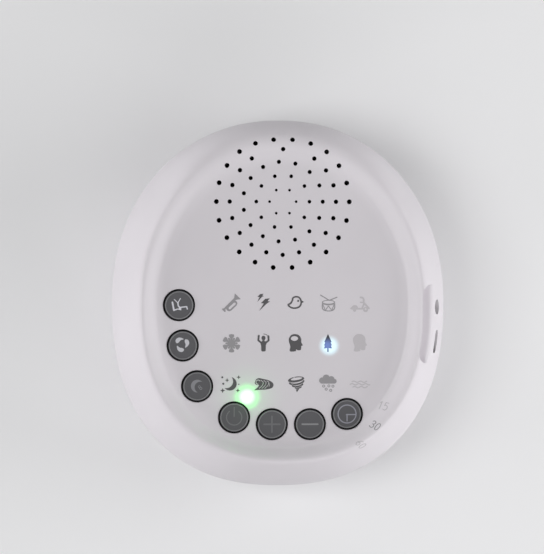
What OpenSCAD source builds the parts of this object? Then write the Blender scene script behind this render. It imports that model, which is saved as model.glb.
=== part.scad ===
// White noise sound machine: a rounded pebble housing with a sunk control floor,
// a drilled speaker grille, seven push keys and a panel of lit sound icons.
// Millimetres. +Z is up, +Y is the back, -Y faces the user.
// The origin is on the table, under the middle of the housing.

/* [Housing] */
// Width of the housing, left to right
body_w = 120; // [116:1:134]
// Length of the housing, front to back
body_l = 131.5; // [129:0.5:145]
// Height of the crest above the table
crest_z = 47; // [46:0.5:52]
// Height of the widest line, where the two shells part
girth_z = 21; // [18:0.5:23]
// Height of the flat base above the table
base_z = 1.5; // [1:0.1:2.5]
// Wall thickness of both shells
wall = 2.2; // [1.8:0.1:2.6]
// Inward reach of the shoulder, from the widest line up to the crest
shoulder_in = 10.2; // [9:0.1:11]
// Inward reach of the underside, from the widest line down to the flat base
base_in = 15; // [12:0.5:17]
// Fullness of the outline's back half, where 2 is an ellipse
back_fullness = 2.12; // [2:0.02:2.4]
// Fullness of the outline's front half
front_fullness = 2.3; // [2:0.02:2.6]
// Height of the tongue that lines up the two shells
tongue_h = 2; // [1:0.1:3]
// Thickness of the tongue
tongue_t = 1.1; // [0.8:0.1:1.5]
// Clearance between the tongue and the top shell
tongue_gap = 0.25; // [0.1:0.05:0.4]
// Bevel along the parting line
parting_bevel = 0.35; // [0.1:0.05:0.6]

/* [Control floor] */
// Height of the floor plane above the table, at the middle of the housing
floor_z = 43.8; // [43:0.1:44.5]
// Rise of the floor towards the back, in degrees
floor_tilt = 2.2; // [1.5:0.1:2.6]
// Extra depth at the middle of the floor
floor_sag = 0.8; // [0.3:0.1:1.2]
// Inward reach of the inner wall at the sides, from the crest to the floor
inner_wall_side = 5.8; // [4.5:0.1:6.5]
// Inward reach of the inner wall at the front
inner_wall_front = 5.5; // [4.5:0.1:6.5]
// Inward reach of the rolled edge at the back
inner_wall_back = 2; // [1.5:0.1:3]
// Drop of the crest at the back, where the floor rolls over it
back_drop = 1; // [0.6:0.1:1.4]
// Fullness of the floor's back half
floor_back_fullness = 1.86; // [1.8:0.02:2.1]

/* [Grille] */
// Distance of the grille's centre behind the middle of the housing
grille_y = 36; // [35:0.5:37]
// Distance between the grille's rings
grille_pitch = 4.7; // [4.3:0.1:4.8]
// Number of holes in each ring, from the middle out
grille_counts = [6, 10, 15, 20, 22];
// Diameter of the holes in each ring, from the middle out
grille_holes = [0.95, 1.3, 1.45, 1.55, 1.7];
// Ring whose two holes beside the grille's top are left out
bare_ring = 4; // [1:1:5]

/* [Keys] */
// Diameter of a keycap
key_d = 10.7; // [9.5:0.1:11]
// Clearance around a keycap in its hole
key_gap = 0.3; // [0.2:0.05:0.4]
// Height of a keycap's face above the floor
key_rise = 0.45; // [0.2:0.05:0.8]
// Chamfer around a keycap's face
key_chamfer = 0.35; // [0.2:0.05:0.5]
// Width of the ledge that holds a keycap under the floor
key_ledge = 0.85; // [0.6:0.05:0.9]
// Thickness of that ledge
key_ledge_t = 0.8; // [0.6:0.1:1.2]
// Clearance between that ledge and the floor's underside
ledge_gap = 0.45; // [0.4:0.05:0.6]
// Travel of a key
key_travel = 0.4; // [0.2:0.05:0.5]

/* [Icon panel] */
// Distance of the panel's centre to the right of the middle
panel_x = 4.5; // [3:0.5:6]
// Distance of the panel's centre behind the middle
panel_y = -14.1; // [-15:0.1:-13]
// Distance between icons, left to right
icon_pitch_x = 11.4; // [10.5:0.1:11.6]
// Distance between icons, front to back
icon_pitch_y = 14.3; // [12:0.1:14.5]
// Width of the well below each icon
well_w = 8.4; // [7:0.1:9]
// Diameter of the power light in the floor
power_light_d = 3; // [2:0.1:3.6]

/* [Circuit board] */
// Distance of the board's top below the floor plane
board_depth = 9; // [8.5:0.1:9.5]
// Thickness of the boards
board_t = 1.6; // [1.2:0.1:2]
// Inward reach from the floor's edge to the board's edge
board_in = 1.8; // [1:0.1:2.5]
// Body width of a tact switch
tact_w = 6; // [5:0.1:6.5]
// Body height of a tact switch
tact_h = 3.5; // [3:0.1:4]
// Diameter of a tact switch's plunger
plunger_d = 3.4; // [2.8:0.1:3.8]

/* [Loudspeaker] */
// Diameter of the loudspeaker
speaker_d = 52; // [50:0.5:52.5]
// Distance of the loudspeaker's centre behind the middle of the housing
speaker_y = 34; // [33:0.5:34.5]
// Depth of the loudspeaker's rim below the floor plane
speaker_depth = 8; // [7.5:0.5:9]
// Full depth of the loudspeaker, rim to magnet
speaker_l = 21; // [19:0.5:23]
// Diameter of the magnet
magnet_d = 30; // [26:0.5:34]

/* [Side recess and sockets] */
// Height of the recess's ledge above the table
ledge_z = 41.9; // [41.5:0.1:42.5]
// Length of the recess
recess_l = 28; // [27:0.5:29]
// Distance of the recess's middle behind the middle of the housing
recess_y = -7.2; // [-8:0.1:-6.5]
// Depth of the recess, from the widest line inwards
recess_in = 10.5; // [10:0.1:11]
// Corner radius of the recess
recess_r = 3.8; // [2.5:0.1:4]
// Distance of the headphone socket behind the middle of the housing
jack_y = -1.3; // [-2:0.1:-0.5]
// Distance of the charging socket behind the middle of the housing
usb_y = -13.6; // [-14:0.1:-13]
// Bore of the headphone socket
jack_bore = 3.6; // [3.5:0.05:3.7]
// Height of the port board's top above the table
port_board_z = 33.9; // [33.5:0.1:34.2]

/* [Battery] */
// Diameter of a lead's wire
wire_d = 1.2; // [1:0.1:1.4]
// Diameter of the cell
cell_d = 18.4; // [14:0.1:18.6]
// Length of the cell
cell_l = 65; // [50:0.5:66]
// Distance of the cell behind the middle of the housing
cell_y = -20; // [-22:0.5:-18]

/* [Feet and screws] */
// Diameter of a rubber foot
foot_d = 10; // [8:0.5:11]
// Depth of a foot's pocket
foot_pocket = 0.8; // [0.5:0.1:1]
// Distance between feet, left to right
foot_pitch_x = 60; // [56:1:62]
// Distance between feet, front to back
foot_pitch_y = 68; // [60:1:70]
// Thread diameter of a case screw
case_screw_d = 3; // [2.6:0.1:3.2]
// Height of a case screw's seat above the table
case_seat_z = 9; // [8:0.5:11]
// Thread diameter of a board screw
board_screw_d = 1.8; // [1.6:0.1:2]

/* [Hidden] */
// Each key's angle around the floor's edge and its distance inside that edge
KEY_SPOTS = [
    [180.4, 7.4], [197.2, 7.3], [219.1, 6.4],
    [246.1, 6.5], [265.9, 7.2], [282.3, 6.4], [302.5, 4.6]
];
// Angles of the case screws around the crest
CASE_ANGLES = [37, 143, 221, 319];

$fn = 64;
slack = 0.01;
segments = 96;
roof = 2.6;             // depth from the crest to the shell's underside there
seat_wall = 1.8;        // wall of the ring that the loudspeaker seats on
seat_over = 0.5;        // reach of that ring past the loudspeaker's rim
gasket_t = 1;
rim_t = 1.2;            // thickness of the loudspeaker's rim
post_r = 2.3;           // outer radius of a board post
speaker_post_r = 2.2;
case_post_r = 4.4;
case_boss_r = 3.4;
screw_gap = 0.05;       // clearance of a screw in its post
board_screw_grip = 4;   // depth of a board screw in its post
wall_t = 1.2;           // wall between two light wells
baffle_gap = 0.2;       // clearance of the light baffle below the floor and above the board

white = [0.9, 0.88, 0.9];
light_white = [0.95, 0.95, 0.92];
key_grey = [0.32, 0.33, 0.35];
board_green = [0.12, 0.36, 0.2];
black = [0.1, 0.1, 0.11];
steel = [0.7, 0.7, 0.72];

// ---------- shape of the housing ----------

function mix(a, b, k) = a + (b - a) * k;
function smooth(k) = let (c = min(max(k, 0), 1)) c * c * (3 - 2 * c);
function bezier(a, b, c, d, s) =
    a * pow(1 - s, 3) + 3 * b * s * pow(1 - s, 2) + 3 * c * s * s * (1 - s) + d * pow(s, 3);
function oval(t, half_w, half_l, fullness) = [
    half_w * sign(cos(t)) * pow(abs(cos(t)), 2 / fullness),
    half_l * sign(sin(t)) * pow(abs(sin(t)), 2 / fullness)
];
function is_back(t) = sin(t) >= 0;

// How far round to the back a direction lies, 0 on the sides and front, 1 straight back
function back_weight(t) = smooth((sin(t) - 0.6) / 0.4);
function outline(t, inset) =
    oval(t, body_w / 2 - inset, body_l / 2 - inset, is_back(t) ? back_fullness : front_fullness);
function floor_edge(t, inset) = oval(
    t,
    body_w / 2 - shoulder_in - inner_wall_side - inset,
    body_l / 2 - shoulder_in - (is_back(t) ? inner_wall_back : inner_wall_front) - inset,
    is_back(t) ? floor_back_fullness : front_fullness
);
// Half width of an oval at a distance from its middle, and that of the housing
function half_width(y, half_w, half_l, fullness) =
    half_w * pow(1 - pow(abs(y) / half_l, fullness), 1 / fullness);
function outline_x(y) = half_width(y, body_w / 2, body_l / 2, y >= 0 ? back_fullness : front_fullness);
function crest_height(t) = crest_z - back_drop * back_weight(t);
function floor_plane(y) = floor_z + y * tan(floor_tilt);

// A point of the shoulder: s runs from 0 at the widest line to 1 at the crest,
// depth from 0 on the outer skin to 1 on the inner skin
function shoulder_point(t, s, depth) = let (
    w = back_weight(t),
    start_in = depth * wall,
    top_in = shoulder_in + depth * 0.4,
    top_z = crest_height(t) - depth * roof,
    low_handle = mix(6, 17, w),
    top_handle = mix(2.6, 6.6, w),
    inset = bezier(start_in, start_in, top_in - top_handle, top_in, s)
) concat(outline(t, inset), bezier(girth_z, girth_z + low_handle, top_z, top_z, s));

// A point of the inner wall: s runs from 0 at the crest to 1 at the floor's edge
function inner_wall_point(t, s, depth) = let (
    top = shoulder_point(t, 1, depth),
    edge = floor_edge(t, depth * 0.6),
    low_z = floor_plane(edge[1]) - depth * wall,
    run = bezier(0, 0.35, 0.6, 1, s),
    fall = bezier(0, 0, 1, 1, s)
) [mix(top[0], edge[0], run), mix(top[1], edge[1], run), mix(top[2], low_z, fall)];

// A point of the floor: k runs from 0 at the middle to 1 at the edge
function floor_point(t, k, depth) = let (
    edge = floor_edge(t, depth * 0.6) * k
) [edge[0], edge[1], floor_plane(edge[1]) - floor_sag * (1 - k * k) - depth * wall];

shoulder_steps = [0.82, 0.64, 0.48, 0.33, 0.18, 0.07];
wall_steps = [0.8, 0.6, 0.42, 0.26, 0.12, 0];
floor_steps = [0.3, 0.6, 0.85, 1];

function angle(i) = 360 * i / segments;
function floor_ring(k, depth) = [for (i = [0 : segments - 1]) floor_point(angle(i), k, depth)];
function wall_ring(s, depth) = [for (i = [0 : segments - 1]) inner_wall_point(angle(i), s, depth)];
function shoulder_ring(s, depth) = [for (i = [0 : segments - 1]) shoulder_point(angle(i), s, depth)];
function flat_ring(inset, z) = [for (i = [0 : segments - 1]) concat(outline(angle(i), inset), z)];

// Rings of the top shell's skin, from the middle of the floor down to the widest line
function top_skin(depth) = concat(
    [for (k = floor_steps) floor_ring(k, depth)],
    [for (s = wall_steps) wall_ring(s, depth)],
    [for (s = shoulder_steps) shoulder_ring(s, depth)]
);
function reversed(list) = [for (i = [len(list) - 1 : -1 : 0]) list[i]];

// Rings of the bottom shell's skin, from the widest line down to the flat base
function underside_ring(s, depth) = flat_ring(
    bezier(depth * wall, depth * wall, base_in - 8 + depth, base_in + depth * 0.5, s),
    bezier(girth_z, girth_z - 13, base_z + depth * wall, base_z + depth * wall, s)
);
underside_steps = [0.14, 0.32, 0.5, 0.68, 0.85, 1];
function bottom_skin(depth) = [for (s = underside_steps) underside_ring(s, depth)];

// A closed skin: rings of points from a first tip, seen from outside above, to a last tip
module loft(first_tip, rings, last_tip) {
    count = len(rings);
    last = count * segments + 1;
    points = concat([first_tip], [for (r = rings) for (p = r) p], [last_tip]);
    sides = [
        for (r = [0 : count - 2]) for (i = [0 : segments - 1])
            let (j = (i + 1) % segments, a = 1 + r * segments, b = a + segments)
            each [[a + i, a + j, b + j], [a + i, b + j, b + i]]
    ];
    low = 1 + (count - 1) * segments;
    tips = [
        for (i = [0 : segments - 1])
            let (j = (i + 1) % segments)
            each [[0, 1 + j, 1 + i], [last, low + i, low + j]]
    ];
    polyhedron(points = points, faces = concat(sides, tips));
}

// The solid inside the top shell's skin at one depth, closed at the widest line
module top_solid(depth) {
    loft(
        floor_point(0, 0, depth),
        concat(top_skin(depth), [flat_ring(depth * wall, girth_z)]),
        [0, 0, girth_z]
    );
}

// The solid inside the bottom shell's skin at one depth, closed at the widest line
module bottom_solid(depth) {
    loft(
        [0, 0, girth_z],
        concat([flat_ring(depth * wall, girth_z)], bottom_skin(depth)),
        [0, 0, base_z + depth * wall]
    );
}

// ---------- places ----------

// Puts its children in the floor's frame, where z is the height above the floor plane
module on_floor(spot = [0, 0], z = 0) {
    translate([0, 0, floor_z])
        rotate([floor_tilt, 0, 0])
            translate([spot[0], spot[1], z])
                children();
}

function key_spot(i) = floor_edge(KEY_SPOTS[i][0], KEY_SPOTS[i][1]);
function case_spot(t) = outline(t, shoulder_in + 0.4);
function icon_spot(column, row) =
    [panel_x + (column - 2) * icon_pitch_x, panel_y - (row - 1) * icon_pitch_y];
function speaker_post_spot(i) = let (
    r = speaker_d / 2 + 0.3 + speaker_post_r
) [r * cos(45 + 90 * i), speaker_y + r * sin(45 + 90 * i)];
// A place in the floor's frame as a place in the housing's frame
function world_spot(spot, z) = [
    spot[0],
    spot[1] * cos(floor_tilt) - z * sin(floor_tilt),
    floor_z + spot[1] * sin(floor_tilt) + z * cos(floor_tilt)
];
power_light_spot = [-12.5, -33];
baffle_half_w = 2 * icon_pitch_x + well_w / 2 + wall_t;
baffle_half_l = icon_pitch_y + well_w / 2 + wall_t;
baffle_right = panel_x + baffle_half_w;
port_edge = body_w / 2 - 8.2;   // outer edge of the port board
port_back = body_w / 2 - 16.4;  // inner edge of the port board
side_post_x = (baffle_right + port_back) / 2;
// Posts of the main board, in the floor's frame: beside and between the keys, and halfway from the baffle
// to the port board
board_posts = [
    key_spot(0) + [8.7, 4],
    key_spot(2) * 0.55 + key_spot(3) * 0.51,
    (key_spot(4) + key_spot(5)) / 2 + [0, 6.1],
    [side_post_x, -13.5],
    [side_post_x, 3.5]
];

// Depth of the floor below its plane at a place on it
function floor_drop(spot) = let (
    back = spot[1] >= 0,
    f = back ? floor_back_fullness : front_fullness,
    half_w = body_w / 2 - shoulder_in - inner_wall_side,
    half_l = body_l / 2 - shoulder_in - (back ? inner_wall_back : inner_wall_front),
    k = pow(pow(abs(spot[0]) / half_w, f) + pow(abs(spot[1]) / half_l, f), 1 / f)
) floor_sag * max(0, 1 - k * k);

// A grille hole's place: the outer rings draw in where they climb over the back shoulder
function grille_spot(ring, i) = let (
    r = grille_pitch * (ring + 1),
    a = 360 * i / grille_counts[ring],
    y = r * sin(a)
) [r * cos(a), grille_y + y - 0.02 * pow(max(0, y - 15), 2)];

// The two places beside the top of one ring carry no hole
function is_bare(ring, i) = ring == bare_ring - 1 && abs(abs(360 * i / grille_counts[ring] - 90) - 18) < 1;

// ---------- shared shapes ----------

module tube(outer_r, inner_r, h) {
    difference() {
        cylinder(r = outer_r, h = h);
        translate([0, 0, -slack])
            cylinder(r = inner_r, h = h + 2 * slack);
    }
}

// A pan-head screw standing on its head's top face, with its tip up
module pan_screw(d, l, head_d, head_h) {
    cylinder(d = head_d, h = head_h);
    translate([0, 0, head_h - slack])
        cylinder(d = d, h = l + slack);
}

// A point of the recess's inner wall, which follows the outline at a distance along the housing
function recess_point(y, margin, reach) = [outline_x(y) - recess_in - margin + reach, y];

// The round corner of the recess at one end: end is 1 at its back and -1 at its front
function recess_corner(end, margin) = let (
    r = recess_r + margin,
    tip = recess_y + end * (recess_l / 2 + margin)
) [for (a = [0 : 15 : 90]) recess_point(tip - end * r * (1 - cos(a)), margin, r * (1 - sin(a)))];

// The space that the side recess cuts away, grown by a margin on every side but the top
module recess_space(margin) {
    half = recess_l / 2 + margin;
    outside = body_w / 2 + 10;
    straight = half - recess_r - margin;
    translate([0, 0, ledge_z - margin])
        linear_extrude(crest_z + 10 - ledge_z)
            polygon(concat(
                [[outside, recess_y + half]],
                recess_corner(1, margin),
                [for (k = [0.6 : -0.3 : -0.6]) recess_point(recess_y + k * straight, margin, 0)],
                reversed(recess_corner(-1, margin)),
                [[outside, recess_y - half]]
            ));
}

// ---------- housing ----------

speaker_seat_z = -speaker_depth + gasket_t;
seat_r = speaker_d / 2 + seat_over;
module top_shell() {
    color(white)
    difference() {
        union() {
            loft(
                floor_point(0, 0, 0),
                concat(
                    top_skin(0),
                    [flat_ring(0, girth_z + parting_bevel), flat_ring(parting_bevel, girth_z)],
                    [flat_ring(wall, girth_z)],
                    reversed(top_skin(1))
                ),
                floor_point(0, 0, 1)
            );
            intersection() {
                top_solid(0.5);
                union() {
                    for (t = CASE_ANGLES)
                        translate(concat(case_spot(t), girth_z))
                            cylinder(r = case_boss_r, h = crest_z);
                    for (p = board_posts)
                        on_floor(p, -board_depth)
                            cylinder(r = post_r, h = board_depth);
                    on_floor([0, speaker_y], speaker_seat_z)
                        tube(seat_r, seat_r - seat_wall, speaker_depth);
                    for (i = [0 : 3])
                        on_floor(speaker_post_spot(i), -speaker_depth - rim_t)
                            cylinder(r = speaker_post_r, h = speaker_depth + rim_t);
                    recess_space(wall);
                    for (p = port_posts)
                        translate(concat(p, port_board_z))
                            cylinder(r = port_post_r, h = ledge_z - port_board_z);
                }
            }
        }
        recess_space(0);
        for (ring = [0 : len(grille_counts) - 1], i = [0 : grille_counts[ring] - 1])
            if (!is_bare(ring, i))
                on_floor(grille_spot(ring, i), -6)
                    cylinder(d = grille_holes[ring], h = 10, $fn = 24);
        for (i = [0 : len(KEY_SPOTS) - 1])
            on_floor(key_spot(i), -wall - 2)
                cylinder(d = key_d + 2 * key_gap, h = 8);
        on_floor(power_light_spot, -wall - 2)
            cylinder(d = power_light_d + 0.1, h = 5);
        translate([body_w / 2 - 15, jack_y, jack_z])
            rotate([0, 90, 0])
                cylinder(d = jack_collar_d + 0.4, h = 20);
        usb_bar(body_w / 2 - 15, body_w / 2 + 5, 0.2);
        for (t = CASE_ANGLES)
            translate(concat(case_spot(t), girth_z - slack))
                cylinder(d = case_screw_d + 2 * screw_gap, h = case_screw_grip + 1);
        for (p = board_posts)
            on_floor(p, -board_depth - slack)
                cylinder(d = board_screw_d + 2 * screw_gap, h = board_screw_grip + 0.5);
        for (p = port_posts)
            translate(concat(p, port_board_z - slack))
                cylinder(d = board_screw_d + 2 * screw_gap, h = board_screw_grip + 0.5);
        for (i = [0 : 3])
            on_floor(speaker_post_spot(i), -speaker_depth - rim_t - slack)
                cylinder(d = board_screw_d + 2 * screw_gap, h = board_screw_grip + 0.5);
    }
}

case_screw_grip = 9;    // depth of a case screw in its boss
case_head_d = 5.6;
case_head_h = 2.2;
module bottom_shell() {
    tongue_in = wall + tongue_gap;
    color(white)
    difference() {
        union() {
            loft(
                [0, 0, base_z + wall],
                concat(
                    reversed(bottom_skin(1)),
                    [
                        flat_ring(tongue_in + tongue_t, girth_z - 2),
                        flat_ring(tongue_in + tongue_t, girth_z + tongue_h),
                        flat_ring(tongue_in, girth_z + tongue_h),
                        flat_ring(tongue_in, girth_z),
                        flat_ring(parting_bevel, girth_z),
                        flat_ring(0, girth_z - parting_bevel)
                    ],
                    bottom_skin(0)
                ),
                [0, 0, base_z]
            );
            intersection() {
                bottom_solid(0.5);
                for (t = CASE_ANGLES)
                    translate(case_spot(t))
                        cylinder(r = case_post_r, h = girth_z);
            }
            for (x = [-1, 1])
                translate([x * holder_screw_x, cell_y, base_z + wall / 2])
                    cylinder(r = post_r, h = wall / 2 + holder_base_t);
        }
        for (t = CASE_ANGLES)
            translate(case_spot(t)) {
                cylinder(d = case_head_d + 0.8, h = case_seat_z);
                cylinder(d = case_screw_d + 0.4, h = girth_z + 1);
            }
        for (p = foot_spots)
            translate(concat(p, 0))
                cylinder(d = foot_d + 0.3, h = base_z + foot_pocket);
        for (x = [-1, 1])
            translate([x * holder_screw_x, cell_y, base_z + wall + holder_base_t - holder_screw_grip])
                cylinder(d = board_screw_d + 2 * screw_gap, h = holder_screw_grip + 1);
    }
}

foot_spots = [for (x = [-1, 1], y = [-1, 1]) [x * foot_pitch_x / 2, y * foot_pitch_y / 2]];
module rubber_feet() {
    color(black)
    for (p = foot_spots)
        translate(concat(p, 0))
            rotate_extrude()
                polygon([
                    [0, 0], [foot_d / 2 - 0.5, 0], [foot_d / 2, 0.5],
                    [foot_d / 2, base_z + foot_pocket], [0, base_z + foot_pocket]
                ]);
}

module case_screws() {
    color(steel)
    for (t = CASE_ANGLES)
        translate(concat(case_spot(t), case_seat_z - case_head_h))
            pan_screw(case_screw_d, girth_z + case_screw_grip - case_seat_z, case_head_d, case_head_h);
}

// ---------- keys ----------

key_foot_z = tact_h + 0.8 - board_depth;    // height of the stem's foot, where it meets the plunger
module keycap(i) {
    spot = key_spot(i);
    drop = floor_drop(spot);
    top = key_rise - drop;
    ledge_top = -drop - wall - ledge_gap;
    r = key_d / 2;
    color(key_grey)
    on_floor(spot)
        rotate_extrude()
            polygon([
                [0, key_foot_z], [plunger_d / 2, key_foot_z], [plunger_d / 2, ledge_top - key_ledge_t],
                [r + key_ledge, ledge_top - key_ledge_t], [r + key_ledge, ledge_top], [r, ledge_top],
                [r, top - key_chamfer], [r - key_chamfer, top],
                [r - key_chamfer - 0.55, top], [r - key_chamfer - 0.75, top - 0.12], [0, top - 0.12]
            ]);
}

plunger_sink = 1.7;     // depth of a plunger in its switch's body
module plunger(i) {
    color(black)
    on_floor(key_spot(i), key_foot_z - 0.8 - plunger_sink)
        cylinder(d = plunger_d, h = plunger_sink + 0.8);
}

module key_lounge() { keycap(0); }
module key_petals() { keycap(1); }
module key_crescent() { keycap(2); }
module key_power() { keycap(3); }
module key_plus() { keycap(4); }
module key_minus() { keycap(5); }
module key_timer() { keycap(6); }
module plunger_lounge() { plunger(0); }
module plunger_petals() { plunger(1); }
module plunger_crescent() { plunger(2); }
module plunger_power() { plunger(3); }
module plunger_plus() { plunger(4); }
module plunger_minus() { plunger(5); }
module plunger_timer() { plunger(6); }

module tact_switches() {
    color(steel)
    for (i = [0 : len(KEY_SPOTS) - 1])
        on_floor(key_spot(i), -board_depth)
            difference() {
                translate([-tact_w / 2, -tact_w / 2, 0])
                    cube([tact_w, tact_w, tact_h]);
                translate([0, 0, tact_h - plunger_sink - key_travel - 0.3])
                    cylinder(d = plunger_d + 0.6, h = tact_h);
            }
}

// ---------- main board and lights ----------

board_back = 7;         // straight back edge of the main board
board_steps = segments / 2;
board_front_pts = [for (i = [0 : board_steps]) floor_edge(angle(board_steps + i), board_in)];
module main_board() {
    color(board_green)
    difference() {
        on_floor([0, 0], -board_depth - board_t)
            linear_extrude(board_t)
                polygon(concat(
                    board_front_pts,
                    [[board_front_pts[board_steps][0], board_back], [board_front_pts[0][0], board_back]]
                ));
        on_floor([0, speaker_y], -board_depth - board_t - 1)
            cylinder(d = speaker_d + 2.4, h = board_t + 2);
        for (p = board_posts)
            on_floor(p, -board_depth - board_t - 1)
                cylinder(d = board_screw_d + 0.4, h = board_t + 2);
    }
}

module board_screws() {
    color(steel)
    for (p = board_posts)
        on_floor(p, -board_depth - board_t - 1.3)
            pan_screw(board_screw_d, board_t + board_screw_grip, 3.8, 1.3);
}

module light_baffle() {
    low = -board_depth + slack;
    h = board_depth - wall - floor_sag - baffle_gap;
    color(white)
    difference() {
        on_floor([panel_x, panel_y], low)
            translate([-baffle_half_w, -baffle_half_l, 0])
                cube([2 * baffle_half_w, 2 * baffle_half_l, h]);
        for (column = [0 : 4], row = [0 : 2])
            on_floor(icon_spot(column, row), low - 1)
                translate([-well_w / 2, -well_w / 2, 0])
                    cube([well_w, well_w, h + 2]);
        for (i = [0 : len(KEY_SPOTS) - 1])
            on_floor(key_spot(i), low - 1)
                cylinder(r = key_d / 2 + key_ledge + 0.6, h = h + 2);
        on_floor(power_light_spot, low - 1)
            cylinder(d = power_light_d + 3, h = h + 2);
    }
}

// A surface-mounted light: a white body with a round lens
module small_light() {
    translate([-1.75, -1.4, 0])
        cube([3.5, 2.8, 1]);
    translate([0, 0, 1 - slack])
        cylinder(r = 1.2, h = 0.6);
}

module sound_lights() {
    color(light_white)
    for (column = [0 : 4], row = [0 : 2])
        on_floor(icon_spot(column, row), -board_depth)
            small_light();
}

// Right edge of the main board at a distance from the middle of the housing
function board_edge_x(y) = half_width(
    y,
    body_w / 2 - shoulder_in - inner_wall_side - board_in,
    body_l / 2 - shoulder_in - inner_wall_front - board_in,
    front_fullness
);
timer_light_y = -27.6;      // place of the foremost timer light
timer_light_pitch = 4;
module timer_lights() {
    color(light_white)
    for (i = [0 : 2])
        let (y = timer_light_y + timer_light_pitch * i)
            on_floor([(baffle_right + board_edge_x(y)) / 2, y], -board_depth)
                rotate([0, 0, 90])
                    small_light();
}

module power_light() {
    color([0.6, 0.95, 0.6])
    on_floor(power_light_spot, -board_depth)
        small_light();
}

module power_light_pipe() {
    drop = floor_drop(power_light_spot);
    r = power_light_d / 2;
    foot = 1.6 + 0.15 - board_depth;
    collar = -drop - wall - 0.05;
    color([0.85, 1, 0.85], 0.6)
    on_floor(power_light_spot)
        rotate_extrude()
            polygon([
                [0, foot], [r, foot], [r, collar - 1], [r + 0.5, collar - 1], [r + 0.5, collar],
                [r - 0.05, collar], [r - 0.05, 0.05 - drop], [r - 0.35, 0.3 - drop], [0, 0.45 - drop]
            ]);
}

module chip(spot, size) {
    on_floor(spot, -board_depth - board_t - size[2])
        translate([-size[0] / 2, -size[1] / 2, 0])
            cube(size);
}

module sound_chip() {
    color(black)
    chip([4, -16], [10, 10, 1.6]);
}

module amplifier_chip() {
    color(black)
    chip([-14, -4], [5, 6, 1.6]);
}

// ---------- loudspeaker ----------

module on_speaker(z) {
    on_floor([0, speaker_y], -speaker_depth + z)
        children();
}

cone_r = speaker_d / 2 - 3.4;   // outer radius of the surround's roll
coil_r = 6.6;
plate_t = 3;                    // front plate of the magnet
basket_neck_r = magnet_d / 2 + 0.2;
basket_neck_z = -speaker_l * 0.45;
module speaker_frame() {
    rim_r = speaker_d / 2;
    neck_r = basket_neck_r - 1.2;
    neck_z = basket_neck_z;
    color(black)
    on_speaker(0)
        difference() {
            rotate_extrude()
                polygon([
                    [cone_r, 0], [rim_r, 0], [rim_r, -rim_t], [cone_r + 1.2, -rim_t],
                    [basket_neck_r, neck_z], [basket_neck_r, neck_z - 1.2], [coil_r + 2, neck_z - 1.2],
                    [coil_r + 2, neck_z], [neck_r, neck_z], [cone_r, -rim_t - 0.4]
                ]);
            for (i = [0 : 3])
                rotate([0, 0, 45 + 90 * i])
                    translate([neck_r + 2.6, -4, neck_z + 1.4])
                        cube([cone_r, 8, 3.4]);
        }
}

module speaker_magnet() {
    top_z = basket_neck_z - 1.2;
    color(steel)
    on_speaker(0)
        rotate_extrude()
            polygon([
                [coil_r + 0.9, top_z], [magnet_d / 2, top_z], [magnet_d / 2, -speaker_l],
                [0, -speaker_l], [0, top_z - 0.2], [coil_r - 0.9, top_z - 0.2],
                [coil_r - 0.9, -speaker_l + plate_t], [coil_r + 0.9, -speaker_l + plate_t]
            ]);
}

module voice_coil() {
    low = basket_neck_z - 5;
    color([0.75, 0.45, 0.2])
    on_speaker(low)
        tube(coil_r + 0.3, coil_r - 0.3, -low - 6.9);
}

module speaker_cone() {
    color([0.2, 0.2, 0.21])
    on_speaker(0)
        rotate_extrude()
            polygon([
                [coil_r - 0.3, -6.9], [coil_r + 0.4, -6.9], [cone_r - 4, -0.4], [cone_r - 3, -0.4],
                [cone_r - 3, 0], [cone_r - 4.3, 0], [coil_r - 0.3, -6.3]
            ]);
}

module speaker_surround() {
    color(black)
    on_speaker(0)
        rotate_extrude() {
            translate([cone_r - 4.2, 0])
                square([1.2, 0.4]);
            translate([cone_r + 0.2, 0])
                square([1.6, 0.4]);
            translate([cone_r - 1.4, 0])
                difference() {
                    circle(r = 1.9);
                    circle(r = 1.5);
                    translate([-3, -6])
                        square([6, 6]);
                }
        }
}

cap_curve = 11;         // radius of the dust cap's dome
cap_t = 0.4;
cap_sink = 8;           // depth of that dome's centre below the cap's rim
module dust_cap() {
    color([0.25, 0.25, 0.26])
    on_speaker(-5.6)
        intersection() {
            cylinder(r = cap_curve, h = cap_curve);
            translate([0, 0, -cap_sink])
                difference() {
                    sphere(r = cap_curve);
                    sphere(r = cap_curve - cap_t);
                }
        }
}

module speaker_gasket() {
    color([0.25, 0.25, 0.25])
    on_speaker(0)
        tube(speaker_d / 2, cone_r + 1.9, gasket_t);
}

module speaker_screws() {
    color(steel)
    for (i = [0 : 3])
        on_floor(speaker_post_spot(i), -speaker_depth - rim_t - 1.8) {
            pan_screw(board_screw_d, 1.8 - 1.4 + board_screw_grip, 3.6, 1.4);
            translate([0, 0, 1.4 - slack])
                cylinder(r = speaker_post_r + 1.1, h = 0.4);
        }
}

// ---------- sockets in the side ----------

port_post_r = 2.2;
jack_h = 5.2;
jack_w = 6.4;
jack_z = port_board_z + jack_h / 2;
jack_collar_d = 5;
jack_collar_l = 3;
usb_h = 3;
usb_w = 8;
usb_z = port_board_z + usb_h / 2;
port_posts = [
    [port_back + 4, (usb_y + usb_w / 2 + jack_y - jack_w / 2) / 2],
    [port_back + 4, jack_y + jack_w / 2 + 4.2]
];

// A flat bar with round sides, running along X from one place to another
module usb_bar(x0, x1, grow) {
    h = usb_h + 2 * grow;
    for (y = [-1, 1])
        translate([x0, usb_y + y * (usb_w - usb_h) / 2, usb_z])
            rotate([0, 90, 0])
                cylinder(d = h, h = x1 - x0);
    translate([x0, usb_y - (usb_w - usb_h) / 2, usb_z - h / 2])
        cube([x1 - x0, usb_w - usb_h, h]);
}

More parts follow.
